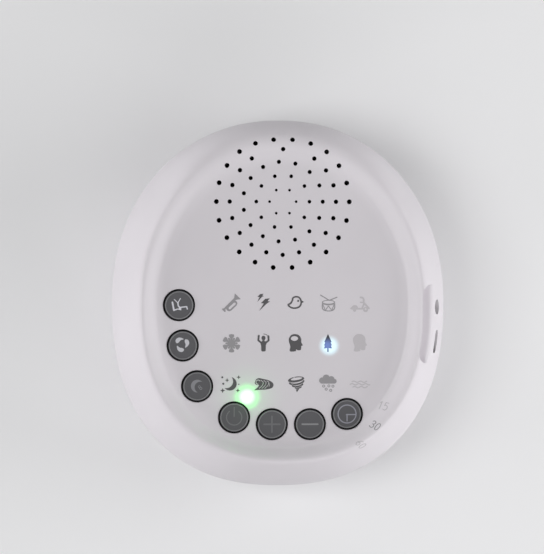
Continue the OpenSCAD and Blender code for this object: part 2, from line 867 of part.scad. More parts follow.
module port_board() {
    color(board_green)
    difference() {
        translate([port_back, usb_y - usb_w / 2 - 1.6, port_board_z - board_t])
            cube([port_edge - port_back, 28, board_t]);
        for (p = port_posts)
            translate(concat(p, port_board_z - board_t - 1))
                cylinder(d = board_screw_d + 0.4, h = board_t + 2);
    }
}

module port_screws() {
    color(steel)
    for (p = port_posts)
        translate(concat(p, port_board_z - board_t - 1.3))
            pan_screw(board_screw_d, board_t + board_screw_grip, 3.8, 1.3);
}

module headphone_socket() {
    color(black)
    difference() {
        union() {
            translate([port_back, jack_y - jack_w / 2, port_board_z])
                cube([port_edge - port_back, jack_w, jack_h]);
            translate([port_edge - 1, jack_y, jack_z])
                rotate([0, 90, 0])
                    cylinder(d = jack_collar_d, h = 1 + jack_collar_l);
        }
        translate([port_back + 1.2, jack_y, jack_z])
            rotate([0, 90, 0])
                cylinder(d = jack_bore, h = 20);
    }
}

module charging_socket() {
    color(steel)
    difference() {
        usb_bar(port_edge - 6, port_edge + 2.4, 0);
        usb_bar(port_edge - 5.2, port_edge + 4, -0.35);
    }
}

// ---------- battery ----------

holder_base_t = 1.2;
holder_wall = 1.6;
holder_end = cell_l / 2 + 0.3 + holder_wall;
cell_z = base_z + wall + holder_base_t + cell_d / 2 + 0.1;
holder_screw_x = holder_end + 3.3;
holder_screw_grip = 2.6;
holder_head_d = 5.4;
module battery_cell() {
    color([0.2, 0.45, 0.7])
    translate([-cell_l / 2, cell_y, cell_z])
        rotate([0, 90, 0]) {
            cylinder(d = cell_d, h = cell_l - 1);
            cylinder(d = cell_d * 0.4, h = cell_l);
        }
}

module battery_holder() {
    low = base_z + wall;
    half_l = holder_end - holder_wall;
    color(black)
    difference() {
        union() {
            translate([-holder_end, cell_y - cell_d / 2 - holder_wall, low])
                cube([2 * holder_end, cell_d + 2 * holder_wall, cell_d * 0.7]);
            translate([-holder_screw_x - 3, cell_y - 4, low])
                cube([2 * holder_screw_x + 6, 8, holder_base_t]);
        }
        translate([-half_l, cell_y, cell_z])
            rotate([0, 90, 0])
                cylinder(d = cell_d + 0.2, h = 2 * half_l);
        translate([-half_l, cell_y - cell_d / 2 - 0.1, cell_z])
            cube([2 * half_l, cell_d + 0.2, cell_d]);
        for (x = [-1, 1])
            translate([x * holder_screw_x, cell_y, low - 1])
                cylinder(r = post_r + 0.1, h = holder_base_t + 2);
    }
}

module holder_screws() {
    color(steel)
    for (x = [-1, 1])
        translate([x * holder_screw_x, cell_y, base_z + wall + holder_base_t + 1.3])
            mirror([0, 0, 1])
                pan_screw(board_screw_d, holder_screw_grip - 0.2, holder_head_d, 1.3);
}

// ---------- connectors and leads ----------

plug_w = 6;
plug_l = 5;
plug_h = 4.5;
wire_pitch = 2.4;       // distance between the two wires of a lead
plug_mid_z = -board_depth - board_t - plug_h / 2;
speaker_plug_spot = [0, board_back - 1.9 - plug_l / 2];
cell_plug_spot = [cell_l / 2 - plug_l / 2, cell_y - 6];
module board_connectors() {
    color([0.85, 0.82, 0.72]) {
        chip(speaker_plug_spot, [plug_w, plug_l, plug_h]);
        chip(cell_plug_spot, [plug_l, plug_w, plug_h]);
    }
}

// A bend of a wire: it starts along +Z and bends towards +Y, or towards -Y if turn is negative
module wire_bend(bend_r, turn) {
    rotate([0, 0, turn < 0 ? 180 : 0])
        translate([0, bend_r, 0])
            rotate([90, 0, -90])
                rotate_extrude(angle = abs(turn), $fn = 48)
                    translate([bend_r, 0])
                        circle(d = wire_d, $fn = 16);
}

// A wire along +Z from its foot: each step is a straight length and the bend after it
module wire(steps, bend_r, i = 0) {
    l = steps[i][0];
    turn = steps[i][1];
    cylinder(d = wire_d, h = l, $fn = 16);
    if (i < len(steps) - 1)
        translate([0, 0, l]) {
            wire_bend(bend_r, turn);
            translate([0, sign(turn) * bend_r * (1 - cos(turn)), bend_r * sin(abs(turn))])
                rotate([-turn, 0, 0])
                    wire(steps, bend_r, i + 1);
        }
}

// Outer radius of the loudspeaker's basket at a height from its rim
function basket_r(z) = mix(cone_r + 1.2, basket_neck_r, (z + rim_t) / (basket_neck_z + rim_t));
wire_drop = 1.35;       // depth of the wires at the loudspeaker below the board's connector
terminal_z = plug_mid_z - wire_drop + speaker_depth;
terminal_top_z = terminal_z + 2.8;
terminal_y = speaker_y - basket_r(terminal_top_z) - 0.1;
module speaker_terminal() {
    color([0.45, 0.3, 0.18])
    difference() {
        on_floor([0, terminal_y], -speaker_depth + terminal_top_z - 4)
            translate([-plug_w / 2, 0, 0])
                cube([plug_w, 2.1, 4]);
        on_floor([0, speaker_y], -speaker_depth)
            rotate_extrude()
                polygon([
                    [0, 0], [cone_r + 1.2, 0], [cone_r + 1.2, -rim_t],
                    [basket_neck_r, basket_neck_z], [0, basket_neck_z]
                ]);
    }
}

module speaker_lead() {
    bend_r = 2;
    turn = 30;
    slope_l = (wire_drop - 2 * bend_r * (1 - cos(turn))) / sin(turn);
    start_y = speaker_plug_spot[1] + plug_l / 2;
    leg = (terminal_y - start_y - 2 * bend_r * sin(turn) - slope_l * cos(turn)) / 2;
    color([0.6, 0.1, 0.1])
    for (side = [-1, 1])
        on_floor([side * wire_pitch / 2, start_y], plug_mid_z)
            rotate([-90, 0, 0])
                wire([[leg, turn], [slope_l, -turn], [leg, 0]], bend_r);
}

module cell_lead() {
    bend_r = 3.5;
    plug = world_spot(cell_plug_spot, plug_mid_z);
    low_z = cell_z - 2;
    rise = plug[2] - low_z - 2 * bend_r;
    color([0.6, 0.1, 0.1])
    for (side = [-1, 1])
        translate([holder_end, plug[1] + side * wire_pitch / 2, low_z])
            rotate([90, 0, 90])
                wire([[1, 90], [rise, 90], [1 + holder_end - cell_l / 2, 0]], bend_r);
}

top_shell();
bottom_shell();
rubber_feet();
case_screws();
key_lounge();
key_petals();
key_crescent();
key_power();
key_plus();
key_minus();
key_timer();
plunger_lounge();
plunger_petals();
plunger_crescent();
plunger_power();
plunger_plus();
plunger_minus();
plunger_timer();
tact_switches();
main_board();
board_screws();
light_baffle();
sound_lights();
timer_lights();
power_light();
power_light_pipe();
sound_chip();
amplifier_chip();
board_connectors();
speaker_terminal();
speaker_lead();
cell_lead();
speaker_frame();
speaker_magnet();
voice_coil();
speaker_cone();
speaker_surround();
dust_cap();
speaker_gasket();
speaker_screws();
port_board();
port_screws();
headphone_socket();
charging_socket();
battery_cell();
battery_holder();
holder_screws();
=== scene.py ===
import math

import bpy
from mathutils import Matrix, Vector, geometry
from mathutils.bvhtree import BVHTree


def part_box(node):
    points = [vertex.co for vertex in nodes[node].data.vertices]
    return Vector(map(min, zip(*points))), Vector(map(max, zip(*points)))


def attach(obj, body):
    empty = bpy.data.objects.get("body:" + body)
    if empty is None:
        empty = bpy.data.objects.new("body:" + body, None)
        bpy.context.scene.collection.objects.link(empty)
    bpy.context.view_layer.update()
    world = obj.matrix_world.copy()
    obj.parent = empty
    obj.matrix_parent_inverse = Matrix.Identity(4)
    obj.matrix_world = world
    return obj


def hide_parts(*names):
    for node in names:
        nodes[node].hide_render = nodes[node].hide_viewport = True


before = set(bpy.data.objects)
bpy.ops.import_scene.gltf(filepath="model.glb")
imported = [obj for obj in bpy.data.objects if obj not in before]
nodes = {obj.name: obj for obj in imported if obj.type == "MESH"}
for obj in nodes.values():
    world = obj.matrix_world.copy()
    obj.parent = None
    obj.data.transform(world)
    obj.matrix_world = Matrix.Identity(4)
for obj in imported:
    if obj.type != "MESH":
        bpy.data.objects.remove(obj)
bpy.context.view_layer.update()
mm = 0.001


# plain mesh helpers

def newObject(name, data):
    thing = bpy.data.objects.new(name, data)
    bpy.context.scene.collection.objects.link(thing)
    return thing


def meshFrom(name, points, faces):
    mesh = bpy.data.meshes.new(name)
    mesh.from_pydata(points, [], faces)
    mesh.validate()
    return mesh


def settled(thing, name):
    # the object as it looks with its modifiers, as a plain mesh without them
    bpy.context.view_layer.update()
    graph = bpy.context.evaluated_depsgraph_get()
    mesh = bpy.data.meshes.new_from_object(thing.evaluated_get(graph))
    mesh.name = name
    bpy.data.objects.remove(thing)
    kept = [material for material in mesh.materials if material]
    empty = len(mesh.materials) - len(kept)
    if empty:
        used = [max(face.material_index - empty, 0) for face in mesh.polygons]
        mesh.materials.clear()
        for material in kept:
            mesh.materials.append(material)
        mesh.polygons.foreach_set("material_index", used)
    return newObject(name, mesh)


def smoothShaded(thing, degrees=35):
    thing.data.shade_smooth()
    thing.data.set_sharp_from_angle(angle=math.radians(degrees))
    return thing


def partsOf(thing):
    corners = [vertex.co.copy() for vertex in thing.data.vertices]
    return corners, [tuple(face.vertices) for face in thing.data.polygons]


def joined(name, meshes, *materials):
    points, faces = [], []
    for vertices, loops in meshes:
        start = len(points)
        points += [tuple(v) for v in vertices]
        faces += [[start + i for i in loop] for loop in loops]
    thing = newObject(name, meshFrom(name, points, faces))
    for material in materials:
        thing.data.materials.append(material)
    return thing


def combined(target, tool, operation, crossing=False):
    # crossing says that the parts of the target cut into each other
    change = target.modifiers.new("combine", "BOOLEAN")
    change.operation = operation
    change.solver = "EXACT"
    change.use_self = crossing
    change.object = tool
    result = settled(target, target.name)
    bpy.data.objects.remove(tool)
    return result


def inPlaceOf(node, thing, body="housing"):
    # the finished piece takes over from a CAD node and moves with its body
    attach(thing, body)
    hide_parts(node)


def turnedProfile(profile, place=Matrix(), steps=48):
    # a closed solid made by turning a profile of (radius, height) about its own Z axis, in millimetres
    points, faces, rings = [], [], []
    for radius, height in profile:
        if rings and (radius, height) == profile[0]:
            rings.append(rings[0])
            continue
        if radius < 1e-6:
            rings.append([len(points)])
            points.append(place @ Vector((0, 0, height * mm)))
            continue
        rings.append(list(range(len(points), len(points) + steps)))
        for i in range(steps):
            turn = 2 * math.pi * i / steps
            points.append(place @ (Vector((radius * math.cos(turn), radius * math.sin(turn), height)) * mm))
    for low, high in zip(rings, rings[1:]):
        if len(low) == 1 and len(high) == 1:
            continue
        for i in range(steps):
            j = (i + 1) % steps
            if len(low) == 1:
                faces.append((low[0], high[j], high[i]))
            elif len(high) == 1:
                faces.append((low[i], low[j], high[0]))
            else:
                faces.append((low[i], low[j], high[j], high[i]))
    return points, faces


# node trees, and formulas that run on plain numbers and, inside a tree, on fields

class Calc:
    # a number in a node tree: ordinary arithmetic on it adds Math nodes
    def __init__(self, tree, socket):
        self.tree = tree
        self.socket = socket

    def math(self, operation, *others):
        return mathNode(self.tree, operation, self, *others)

    def __add__(self, other):
        return self.math("ADD", other)

    def __sub__(self, other):
        return self.math("SUBTRACT", other)

    def __rsub__(self, other):
        return mathNode(self.tree, "SUBTRACT", other, self)

    def __mul__(self, other):
        return self.math("MULTIPLY", other)

    def __truediv__(self, other):
        return self.math("DIVIDE", other)

    def __rtruediv__(self, other):
        return mathNode(self.tree, "DIVIDE", other, self)

    __radd__ = __add__
    __rmul__ = __mul__


def feed(tree, value, entry):
    # value is a plain value, a Calc or the output of a node
    value = value.socket if isinstance(value, Calc) else value
    if isinstance(value, bpy.types.NodeSocket):
        tree.links.new(value, entry)
    else:
        entry.default_value = value


def addNode(tree, kind, inputs=None, **settings):
    node = tree.nodes.new(kind)
    for key, value in settings.items():
        setattr(node, key, value)
    for label, value in (inputs or {}).items():
        feed(tree, value, node.inputs[label])
    return node


def mathNode(tree, operation, *values):
    node = addNode(tree, "ShaderNodeMath", dict(enumerate(values)), operation=operation)
    return Calc(tree, node.outputs[0])


def vectorMath(tree, operation, *values):
    node = addNode(tree, "ShaderNodeVectorMath", dict(enumerate(values)), operation=operation)
    return node.outputs["Value" if operation in ("LENGTH", "DISTANCE") else "Vector"]


def shapeTree(name, sizes):
    # a geometry node tree with an input for each size, where None stands for a mesh
    kinds = {float: "NodeSocketFloat", int: "NodeSocketInt", type(None): "NodeSocketGeometry"}
    tree = bpy.data.node_groups.new(name, "GeometryNodeTree")
    tree.interface.new_socket("Geometry", in_out="OUTPUT", socket_type="NodeSocketGeometry")
    for label, value in sizes.items():
        entry = tree.interface.new_socket(label, in_out="INPUT", socket_type=kinds[type(value)])
        if value is not None:
            entry.default_value = value
    given = tree.nodes.new("NodeGroupInput")
    return tree, {label: Calc(tree, given.outputs[label]) for label in sizes}


def meshOf(tree, thing):
    return addNode(tree, "GeometryNodeObjectInfo", {"Object": thing}).outputs["Geometry"]


def grown(name, mesh, tree, sizes, last, material):
    # ends the tree after its last node, runs it on the mesh and keeps what it makes
    realize = addNode(tree, "GeometryNodeRealizeInstances", {0: last.outputs[0]})
    paint = addNode(tree, "GeometryNodeSetMaterial", {0: realize.outputs[0], "Material": material})
    addNode(tree, "NodeGroupOutput", {0: paint.outputs[0]})
    holder = newObject(name, mesh)
    grow = holder.modifiers.new("shape", "NODES")
    grow.node_group = tree
    for entry in tree.interface.items_tree:
        if entry.in_out == "INPUT" and sizes[entry.name] is not None:
            grow[entry.identifier] = sizes[entry.name]
    return settled(holder, name)


def mix(a, b, k):
    return a + (b - a) * k


def limited(value):
    if isinstance(value, Calc):
        return value.math("MAXIMUM", 0).math("MINIMUM", 1)
    return min(max(value, 0), 1)


def smoothStep(value):
    k = limited(value)
    return k * k * (3 - 2 * k)


def bezier(a, b, c, d, s):
    rest = 1 - s
    return a * rest * rest * rest + b * 3 * s * rest * rest + c * 3 * s * s * rest + d * s * s * s


def signedPower(value, power):
    if isinstance(value, Calc):
        return value.math("SIGN") * value.math("ABSOLUTE").math("POWER", power)
    return math.copysign(abs(value) ** power, value)


class Way:
    # a direction round the housing: 0 degrees is the right side and 90 the back
    def __init__(self, cosine, sine, back):
        self.cosine = cosine
        self.sine = sine
        self.back = back


def wayAt(degrees):
    turn = math.radians(degrees)
    return Way(math.cos(turn), math.sin(turn), 1.0 if math.sin(turn) >= 0 else 0.0)


# shape of the housing, in millimetres, shared by both shells

housing = {
    "Width": 120.0,
    "Length": 131.5,
    "Crest Height": 47.0,
    "Girth Height": 21.0,
    "Base Height": 1.5,
    "Wall": 2.2,
    "Roof": 2.6,
    "Shoulder Reach": 10.2,
    "Base Reach": 15.0,
    "Back Fullness": 2.12,
    "Front Fullness": 2.3,
    "Back Drop": 1.0,
    "Floor Height": 43.8,
    "Floor Tilt": 2.2,
    "Floor Sag": 0.8,
    "Floor Back Fullness": 1.86,
    "Inner Wall Side": 5.8,
    "Inner Wall Front": 5.5,
    "Inner Wall Back": 2.0,
    "Parting Bevel": 0.35,
    "Tongue Gap": 0.25,
    "Tongue Thickness": 1.1,
    "Tongue Height": 2.0,
}
bends = {
    # the curves' handles, in millimetres and at the front and back where there are two
    "shoulderLow": (6, 17),
    "shoulderTop": (2.6, 6.6),
    "shoulderThin": 0.4,
    "dishThin": 0.6,
    "innerWallRun": (0, 0.35, 0.6, 1),
    "innerWallFall": (0, 0, 1, 1),
    "undersideLow": 13,
    "undersideIn": 8,
    "undersideThin": 0.5,
    "backStart": 0.6,
}
fineness = {
    "around": 288,
    "floor": 40,
    "wall": 26,
    "shoulder": 44,
    "underside": 40,
    "base": 10,
    "inside": 12,
}


def oval(way, halfWidth, halfLength, fullness):
    x = signedPower(way.cosine, 2 / fullness) * halfWidth
    y = signedPower(way.sine, 2 / fullness) * halfLength
    return x, y


def outline(size, way, inset):
    fullness = mix(size["Front Fullness"], size["Back Fullness"], way.back)
    return oval(way, size["Width"] / 2 - inset, size["Length"] / 2 - inset, fullness)


def floorEdge(size, way, inset):
    wallReach = mix(size["Inner Wall Front"], size["Inner Wall Back"], way.back)
    fullness = mix(size["Front Fullness"], size["Floor Back Fullness"], way.back)
    halfWidth = size["Width"] / 2 - size["Shoulder Reach"] - size["Inner Wall Side"] - inset
    halfLength = size["Length"] / 2 - size["Shoulder Reach"] - wallReach - inset
    return oval(way, halfWidth, halfLength, fullness)


def backWeight(way):
    # 0 round the front and sides, 1 at the back
    return smoothStep((way.sine - bends["backStart"]) / (1 - bends["backStart"]))


def floorPlane(size, y):
    return y * math.tan(math.radians(housing["Floor Tilt"])) + size["Floor Height"]


def shoulderPoint(size, way, s, depth):
    weight = backWeight(way)
    startIn = size["Wall"] * depth
    topIn = size["Shoulder Reach"] + depth * bends["shoulderThin"]
    topZ = size["Crest Height"] - size["Back Drop"] * weight - size["Roof"] * depth
    startZ = size["Girth Height"] + size["Parting Bevel"] * (1 - depth)
    lowHandle = mix(*bends["shoulderLow"], weight)
    topHandle = mix(*bends["shoulderTop"], weight)
    inset = bezier(startIn, startIn, topIn - topHandle, topIn, s)
    x, y = outline(size, way, inset)
    return x, y, bezier(startZ, startZ + lowHandle, topZ, topZ, s)


def innerWallPoint(size, way, s, depth):
    topX, topY, topZ = shoulderPoint(size, way, 1, depth)
    edgeX, edgeY = floorEdge(size, way, depth * bends["dishThin"])
    lowZ = floorPlane(size, edgeY) - size["Wall"] * depth
    run = bezier(*bends["innerWallRun"], s)
    fall = bezier(*bends["innerWallFall"], s)
    return mix(topX, edgeX, run), mix(topY, edgeY, run), mix(topZ, lowZ, fall)


def floorPoint(size, way, k, depth):
    edgeX, edgeY = floorEdge(size, way, depth * bends["dishThin"])
    y = edgeY * k
    sag = size["Floor Sag"] * (1 - k * k)
    return edgeX * k, y, floorPlane(size, y) - sag - size["Wall"] * depth


def undersidePoint(size, way, s, depth):
    startIn = size["Wall"] * depth
    endZ = size["Base Height"] + startIn
    reach = size["Base Reach"]
    endIn = reach + depth * bends["undersideThin"]
    inset = bezier(startIn, startIn, reach - bends["undersideIn"] + depth, endIn, s)
    startZ = size["Girth Height"] - size["Parting Bevel"] * (1 - depth)
    x, y = outline(size, way, inset)
    return x, y, bezier(startZ, size["Girth Height"] - bends["undersideLow"], endZ, endZ, s)


# node trees for the shells

class ShellTree:
    # grids of faces, bent into place by the formulas above and sewn into one closed skin
    def __init__(self, name):
        self.tree, self.size = shapeTree(name, housing)
        position = self.tree.nodes.new("GeometryNodeInputPosition")
        split = addNode(self.tree, "ShaderNodeSeparateXYZ", {0: position.outputs[0]})
        turn = (Calc(self.tree, split.outputs["X"]) + 0.5) * (2 * math.pi)
        self.up = Calc(self.tree, split.outputs["Y"]) + 0.5
        sine = turn.math("SINE")
        self.way = Way(turn.math("COSINE"), sine, sine.math("GREATER_THAN", -1e-5))
        self.patches = []

    def patch(self, rows, place, inside=False):
        # place gives the point at a share up the patch, from 0 at its low or outer side to 1
        grid = addNode(self.tree, "GeometryNodeMeshGrid", {
            "Vertices X": fineness["around"] + 1, "Vertices Y": rows + 1,
        })
        spot = place(self.size, self.way, self.up)
        point = addNode(self.tree, "ShaderNodeCombineXYZ", {i: value * mm for i, value in enumerate(spot)})
        bend = addNode(self.tree, "GeometryNodeSetPosition", {
            "Geometry": grid.outputs["Mesh"], "Position": point.outputs[0],
        })
        if inside:
            bend = addNode(self.tree, "GeometryNodeFlipFaces", {0: bend.outputs[0]})
        self.patches.append(bend.outputs[0])

    def skin(self, rows, point, depth, falling=False, inside=False):
        # a patch of one of the point formulas, walked up or down
        self.patch(rows, lambda size, way, up: point(size, way, 1 - up if falling else up, depth), inside)

    def sheet(self, rows, point, s, depth, falling=False, inside=False):
        # a flat sheet between the middle of the housing and the ring of points at s
        def place(size, way, up):
            x, y, z = point(size, way, s, depth)
            share = 1 - up if falling else up
            return x * share, y * share, z
        self.patch(rows, place, inside)

    def band(self, start, end, inside=False):
        # a straight band from one (inset, height) to another
        def place(size, way, up):
            x, y = outline(size, way, mix(start[0], end[0], up))
            return x, y, mix(start[1], end[1], up)
        self.patch(1, place, inside)

    def sewn(self, name, material):
        join = self.tree.nodes.new("GeometryNodeJoinGeometry")
        for result in self.patches:
            self.tree.links.new(result, join.inputs[0])
        merge = addNode(self.tree, "GeometryNodeMergeByDistance", {
            0: join.outputs[0], "Distance": 0.002 * mm,
        })
        return grown(name, bpy.data.meshes.new(name), self.tree, housing, merge, material)


def dishSide(shell, depth=0.0, rows=None, inside=False):
    # floor, inner wall and shoulder
    for name, point in (("floor", floorPoint), ("wall", innerWallPoint), ("shoulder", shoulderPoint)):
        shell.skin(rows or fineness[name], point, depth, name == "floor", inside)


def topShellBlank(material):
    shell = ShellTree("top shell skin")
    size = shell.size
    bevel, girth = size["Parting Bevel"], size["Girth Height"]
    dishSide(shell)
    shell.band((bevel, girth), (0, girth + bevel))
    shell.band((size["Wall"], girth), (bevel, girth))
    dishSide(shell, 1, fineness["inside"], inside=True)
    return shell.sewn("topShell", material)


def midWallSolid(material):
    # the solid below the middle of the top shell's wall, closed across the widest line
    shell = ShellTree("mid wall solid")
    dishSide(shell, 0.5)
    shell.sheet(1, shoulderPoint, 0, 0.5)
    return shell.sewn("midWall", material)


def bottomShellBlank(material):
    shell = ShellTree("bottom shell skin")
    size = shell.size
    bevel, girth = size["Parting Bevel"], size["Girth Height"]
    tongueIn = size["Wall"] + size["Tongue Gap"]
    tongueDeep = tongueIn + size["Tongue Thickness"]
    tongueTop = girth + size["Tongue Height"]
    # the inner skin starts this share down the side, under the tongue
    low = 0.14
    shelfZ = girth - 2
    shell.sheet(fineness["base"], undersidePoint, 1, 0)
    shell.skin(fineness["underside"], undersidePoint, 0, falling=True)
    steps = [
        (0, girth - bevel), (bevel, girth), (tongueIn, girth), (tongueIn, tongueTop),
        (tongueDeep, tongueTop), (tongueDeep, shelfZ),
    ]
    for start, end in zip(steps, steps[1:]):
        shell.band(start, end)

    def shelf(size, way, up):
        x, y = outline(size, way, tongueDeep)
        lowX, lowY, lowZ = undersidePoint(size, way, low, 1)
        return mix(lowX, x, up), mix(lowY, y, up), mix(lowZ, shelfZ, up)

    def inner(size, way, up):
        return undersidePoint(size, way, low + (1 - low) * (1 - up), 1)
    shell.patch(1, shelf, inside=True)
    shell.patch(fineness["inside"], inner, inside=True)
    shell.sheet(fineness["base"], undersidePoint, 1, 1, inside=True)
    return shell.sewn("bottomShell", material)


def midUndersideSolid(material):
    # the solid above the middle of the bottom shell's wall, closed across the widest line
    shell = ShellTree("mid underside solid")
    shell.sheet(fineness["base"], undersidePoint, 1, 0.5)
    shell.skin(fineness["underside"], undersidePoint, 0.5, falling=True)
    shell.sheet(1, undersidePoint, 0, 0.5, falling=True)
    return shell.sewn("midUnderside", material)


# materials

def shaderOf(name):
    material = bpy.data.materials.new(name)
    material.use_nodes = True
    tree = material.node_tree
    return material, tree, tree.nodes["Principled BSDF"]


def insideOf(material):
    # its node tree, its shader and the socket that gives the shader's colour
    tree = material.node_tree
    shader = tree.nodes["Principled BSDF"]
    return tree, shader, shader.inputs["Base Color"].links[0].from_socket


def objectPlace(tree):
    return tree.nodes.new("ShaderNodeTexCoord").outputs["Object"]


def alongAxis(tree, axis):
    split = addNode(tree, "ShaderNodeSeparateXYZ", {0: objectPlace(tree)})
    return Calc(tree, split.outputs[axis])


def objectNoise(tree, scale, detail, offset=None):
    place = objectPlace(tree)
    if offset:
        place = addNode(tree, "ShaderNodeMapping", {"Vector": place, "Location": offset}).outputs[0]
    noise = addNode(tree, "ShaderNodeTexNoise", {"Vector": place, "Scale": scale, "Detail": detail})
    return noise.outputs["Fac"]


def ramp(tree, value, low, high):
    # low and high are (position, colour)
    band = addNode(tree, "ShaderNodeValToRGB", {"Fac": value})
    for element, (position, colour) in zip(band.color_ramp.elements, (low, high)):
        element.position = position
        element.color = (*colour, 1)
    return band.outputs["Color"]


def spread(tree, value, low, high, start=0.0, end=1.0, kind="LINEAR"):
    # lays the range from start to end over the one from low to high
    scale = addNode(tree, "ShaderNodeMapRange", {
        "Value": value, "From Min": start, "From Max": end, "To Min": low, "To Max": high,
    }, interpolation_type=kind)
    return scale.outputs["Result"]


def blended(tree, share, first, second):
    blend = addNode(tree, "ShaderNodeMix", {}, data_type="RGBA")
    for label, value in (("Factor", share), ("A", first), ("B", second)):
        feed(tree, (*value, 1) if isinstance(value, tuple) else value, blend.inputs[label])
    return blend.outputs["Result"]


def grain(tree, shader, value, strength, distance):
    bump = addNode(tree, "ShaderNodeBump", {"Strength": strength, "Distance": distance, "Height": value})
    tree.links.new(bump.outputs["Normal"], shader.inputs["Normal"])


def tinted(colour, share):
    return tuple(min(c * share, 1.0) for c in colour)


plasticLook = {
    # scale and detail of each noise, and how far it changes the tone and the roughness
    "toneNoise": (26, 4),
    "tone": (0.972, 1.018),
    "glossNoise": (60, 5, (3, 1, 2)),
    "gloss": (-0.07, 0.07),
}
metalLook = {
    "toneNoise": (300, 4),
    "tone": (0.86, 1.06),
    "glossNoise": (900, 4, (1, 4, 2)),
    "gloss": (-0.08, 0.12),
}
metalGrain = (3000, 0.12)
grainDepth = 0.02


def skinned(name, colour, roughness, look, grainSize, strength):
    # slow tone changes, patches of smoother skin and a fine texture
    material, tree, shader = shaderOf(name)
    dark, light = (tinted(colour, share) for share in look["tone"])
    low, high = (roughness + change for change in look["gloss"])
    tone = ramp(tree, objectNoise(tree, *look["toneNoise"]), (0.3, dark), (0.7, light))
    feed(tree, tone, shader.inputs["Base Color"])
    feed(tree, spread(tree, objectNoise(tree, *look["glossNoise"]), low, high), shader.inputs["Roughness"])
    grain(tree, shader, objectNoise(tree, grainSize, 2), strength, grainDepth * mm)
    return material, tree, shader


def mouldedPlastic(name, colour, roughness=0.42, grainSize=2600, strength=0.06, specular=0.5):
    material, tree, shader = skinned(name, colour, roughness, plasticLook, grainSize, strength)
    feed(tree, specular, shader.inputs["Specular IOR Level"])
    return material


def plainMetal(name, colour, roughness):
    material, tree, shader = skinned(name, colour, roughness, metalLook, *metalGrain)
    feed(tree, 1.0, shader.inputs["Metallic"])
    return material


# floor frame and places

floorFrame = Matrix.Translation((0, 0, housing["Floor Height"] * mm)) @ Matrix.Rotation(
    math.radians(housing["Floor Tilt"]), 4, "X"
)
floorRise = floorFrame.to_3x3() @ Vector((0, 0, 1))


def onFloor(x, y, z=0.0):
    # a place in the floor's own frame, with x and y along it and z above it, in millimetres
    return floorFrame @ Matrix.Translation(Vector((x, y, z)) * mm)


def upright(x, y, z=0.0):
    return Matrix.Translation(Vector((x, y, z)) * mm)


def middleOf(node):
    low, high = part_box(node)
    return (low + high) / 2


def floorSpot(node):
    # where a CAD node stands on the floor, in the floor's frame
    place = floorFrame.inverted() @ middleOf(node)
    return place.x / mm, place.y / mm


# lit spots and the white plastic round them

lightHole = {"spot": (-12.5, -33.0), "radius": 1.55}
iconGrid = {"middle": (4.75, -14.05), "across": 11.4, "along": 14.4}
glows = [
    # place on the floor, reach of the full glow and where it ends, colour
    (lightHole["spot"], 1.3, 3.5, (0.55, 0.55, 0.55)),
    (lightHole["spot"], 2.6, 5.6, (0.0, 0.44, 0.02)),
    (lightHole["spot"], 3.0, 14.0, (0.0, 0.034, 0.004)),
    ((16.6, -15.0), 1.4, 4.3, (0.30, 0.58, 0.66)),
]


def glowing(material, spots):
    # adds light round each spot, fading with distance from it
    tree, shader, _ = insideOf(material)
    place = objectPlace(tree)
    total = (0, 0, 0)
    for (x, y), full, end, colour in spots:
        away = vectorMath(tree, "DISTANCE", place, onFloor(x, y).translation)
        share = spread(tree, away, 0.0, 1.0, end * mm, full * mm, "SMOOTHSTEP")
        total = vectorMath(tree, "MULTIPLY_ADD", share, colour, total)
    feed(tree, total, shader.inputs["Emission Color"])
    feed(tree, 1.0, shader.inputs["Emission Strength"])
    return material


# reach of the painted floor shade, where it fades out, and how dark it makes the shell
dishFloorShade = {"halfWidth": 44.0, "halfLength": 51.5, "start": 0.92, "end": 1.03, "tone": 0.92}


def withPaintedFloorShade(material):
    # painted shade: within the oval of the dish's floor the shell is coloured darker, fading out across the
    # floor's edge
    tree, shader, colour = insideOf(material)
    shares = (1 / (dishFloorShade["halfWidth"] * mm), 1 / (dishFloorShade["halfLength"] * mm), 0)
    reach = vectorMath(tree, "LENGTH", vectorMath(tree, "MULTIPLY", objectPlace(tree), shares))
    tone = spread(tree, reach, dishFloorShade["tone"], 1.0, dishFloorShade["start"], dishFloorShade["end"], "SMOOTHSTEP")
    feed(tree, vectorMath(tree, "MULTIPLY", colour, tone), shader.inputs["Base Color"])
    return material


shellColour = (0.80, 0.765, 0.805)
# the shell's white plastic, with painted shade on the dish's floor and a painted glow round the lit spots
shellWhite = glowing(withPaintedFloorShade(mouldedPlastic("shellWhite", shellColour)), glows)
boreShade = mouldedPlastic("boreShade", (0.012, 0.012, 0.013), roughness=0.9, specular=0.1)


def darkInside(name, edgeX):
    # a hole's wall through the side, with painted shade: the shell's colour outside edgeX and dark further in
    material = mouldedPlastic(name, shellColour)
    tree, shader, colour = insideOf(material)
    share = spread(tree, alongAxis(tree, "X"), 0.0, 1.0, (edgeX - 0.25) * mm, (edgeX + 0.35) * mm)
    feed(tree, blended(tree, share, (0.02, 0.02, 0.02), colour), shader.inputs["Base Color"])
    return material


keyNames = ["lounge", "petals", "crescent", "power", "plus", "minus", "timer"]
keySpots = {name: floorSpot("key_" + name) for name in keyNames}


def floorDrop(x, y):
    # how far the sagging floor lies below its plane at a place in the floor's frame
    fullness = housing["Floor Back Fullness"] if y >= 0 else housing["Front Fullness"]
    wallReach = housing["Inner Wall Back"] if y >= 0 else housing["Inner Wall Front"]
    halfWidth = housing["Width"] / 2 - housing["Shoulder Reach"] - housing["Inner Wall Side"]
    halfLength = housing["Length"] / 2 - housing["Shoulder Reach"] - wallReach
    k = ((abs(x) / halfWidth) ** fullness + (abs(y) / halfLength) ** fullness) ** (1 / fullness)
    return housing["Floor Sag"] * max(0, 1 - k * k)


def outlineX(y, inset):
    # where the outline's right side lies at a distance along the housing
    fullness = housing["Back Fullness"] if y >= 0 else housing["Front Fullness"]
    share = 1 - (abs(y) / (housing["Length"] / 2)) ** fullness
    return housing["Width"] / 2 * share ** (1 / fullness) - inset


# grille: drills on rings, stood square to the floor's skin by a node tree

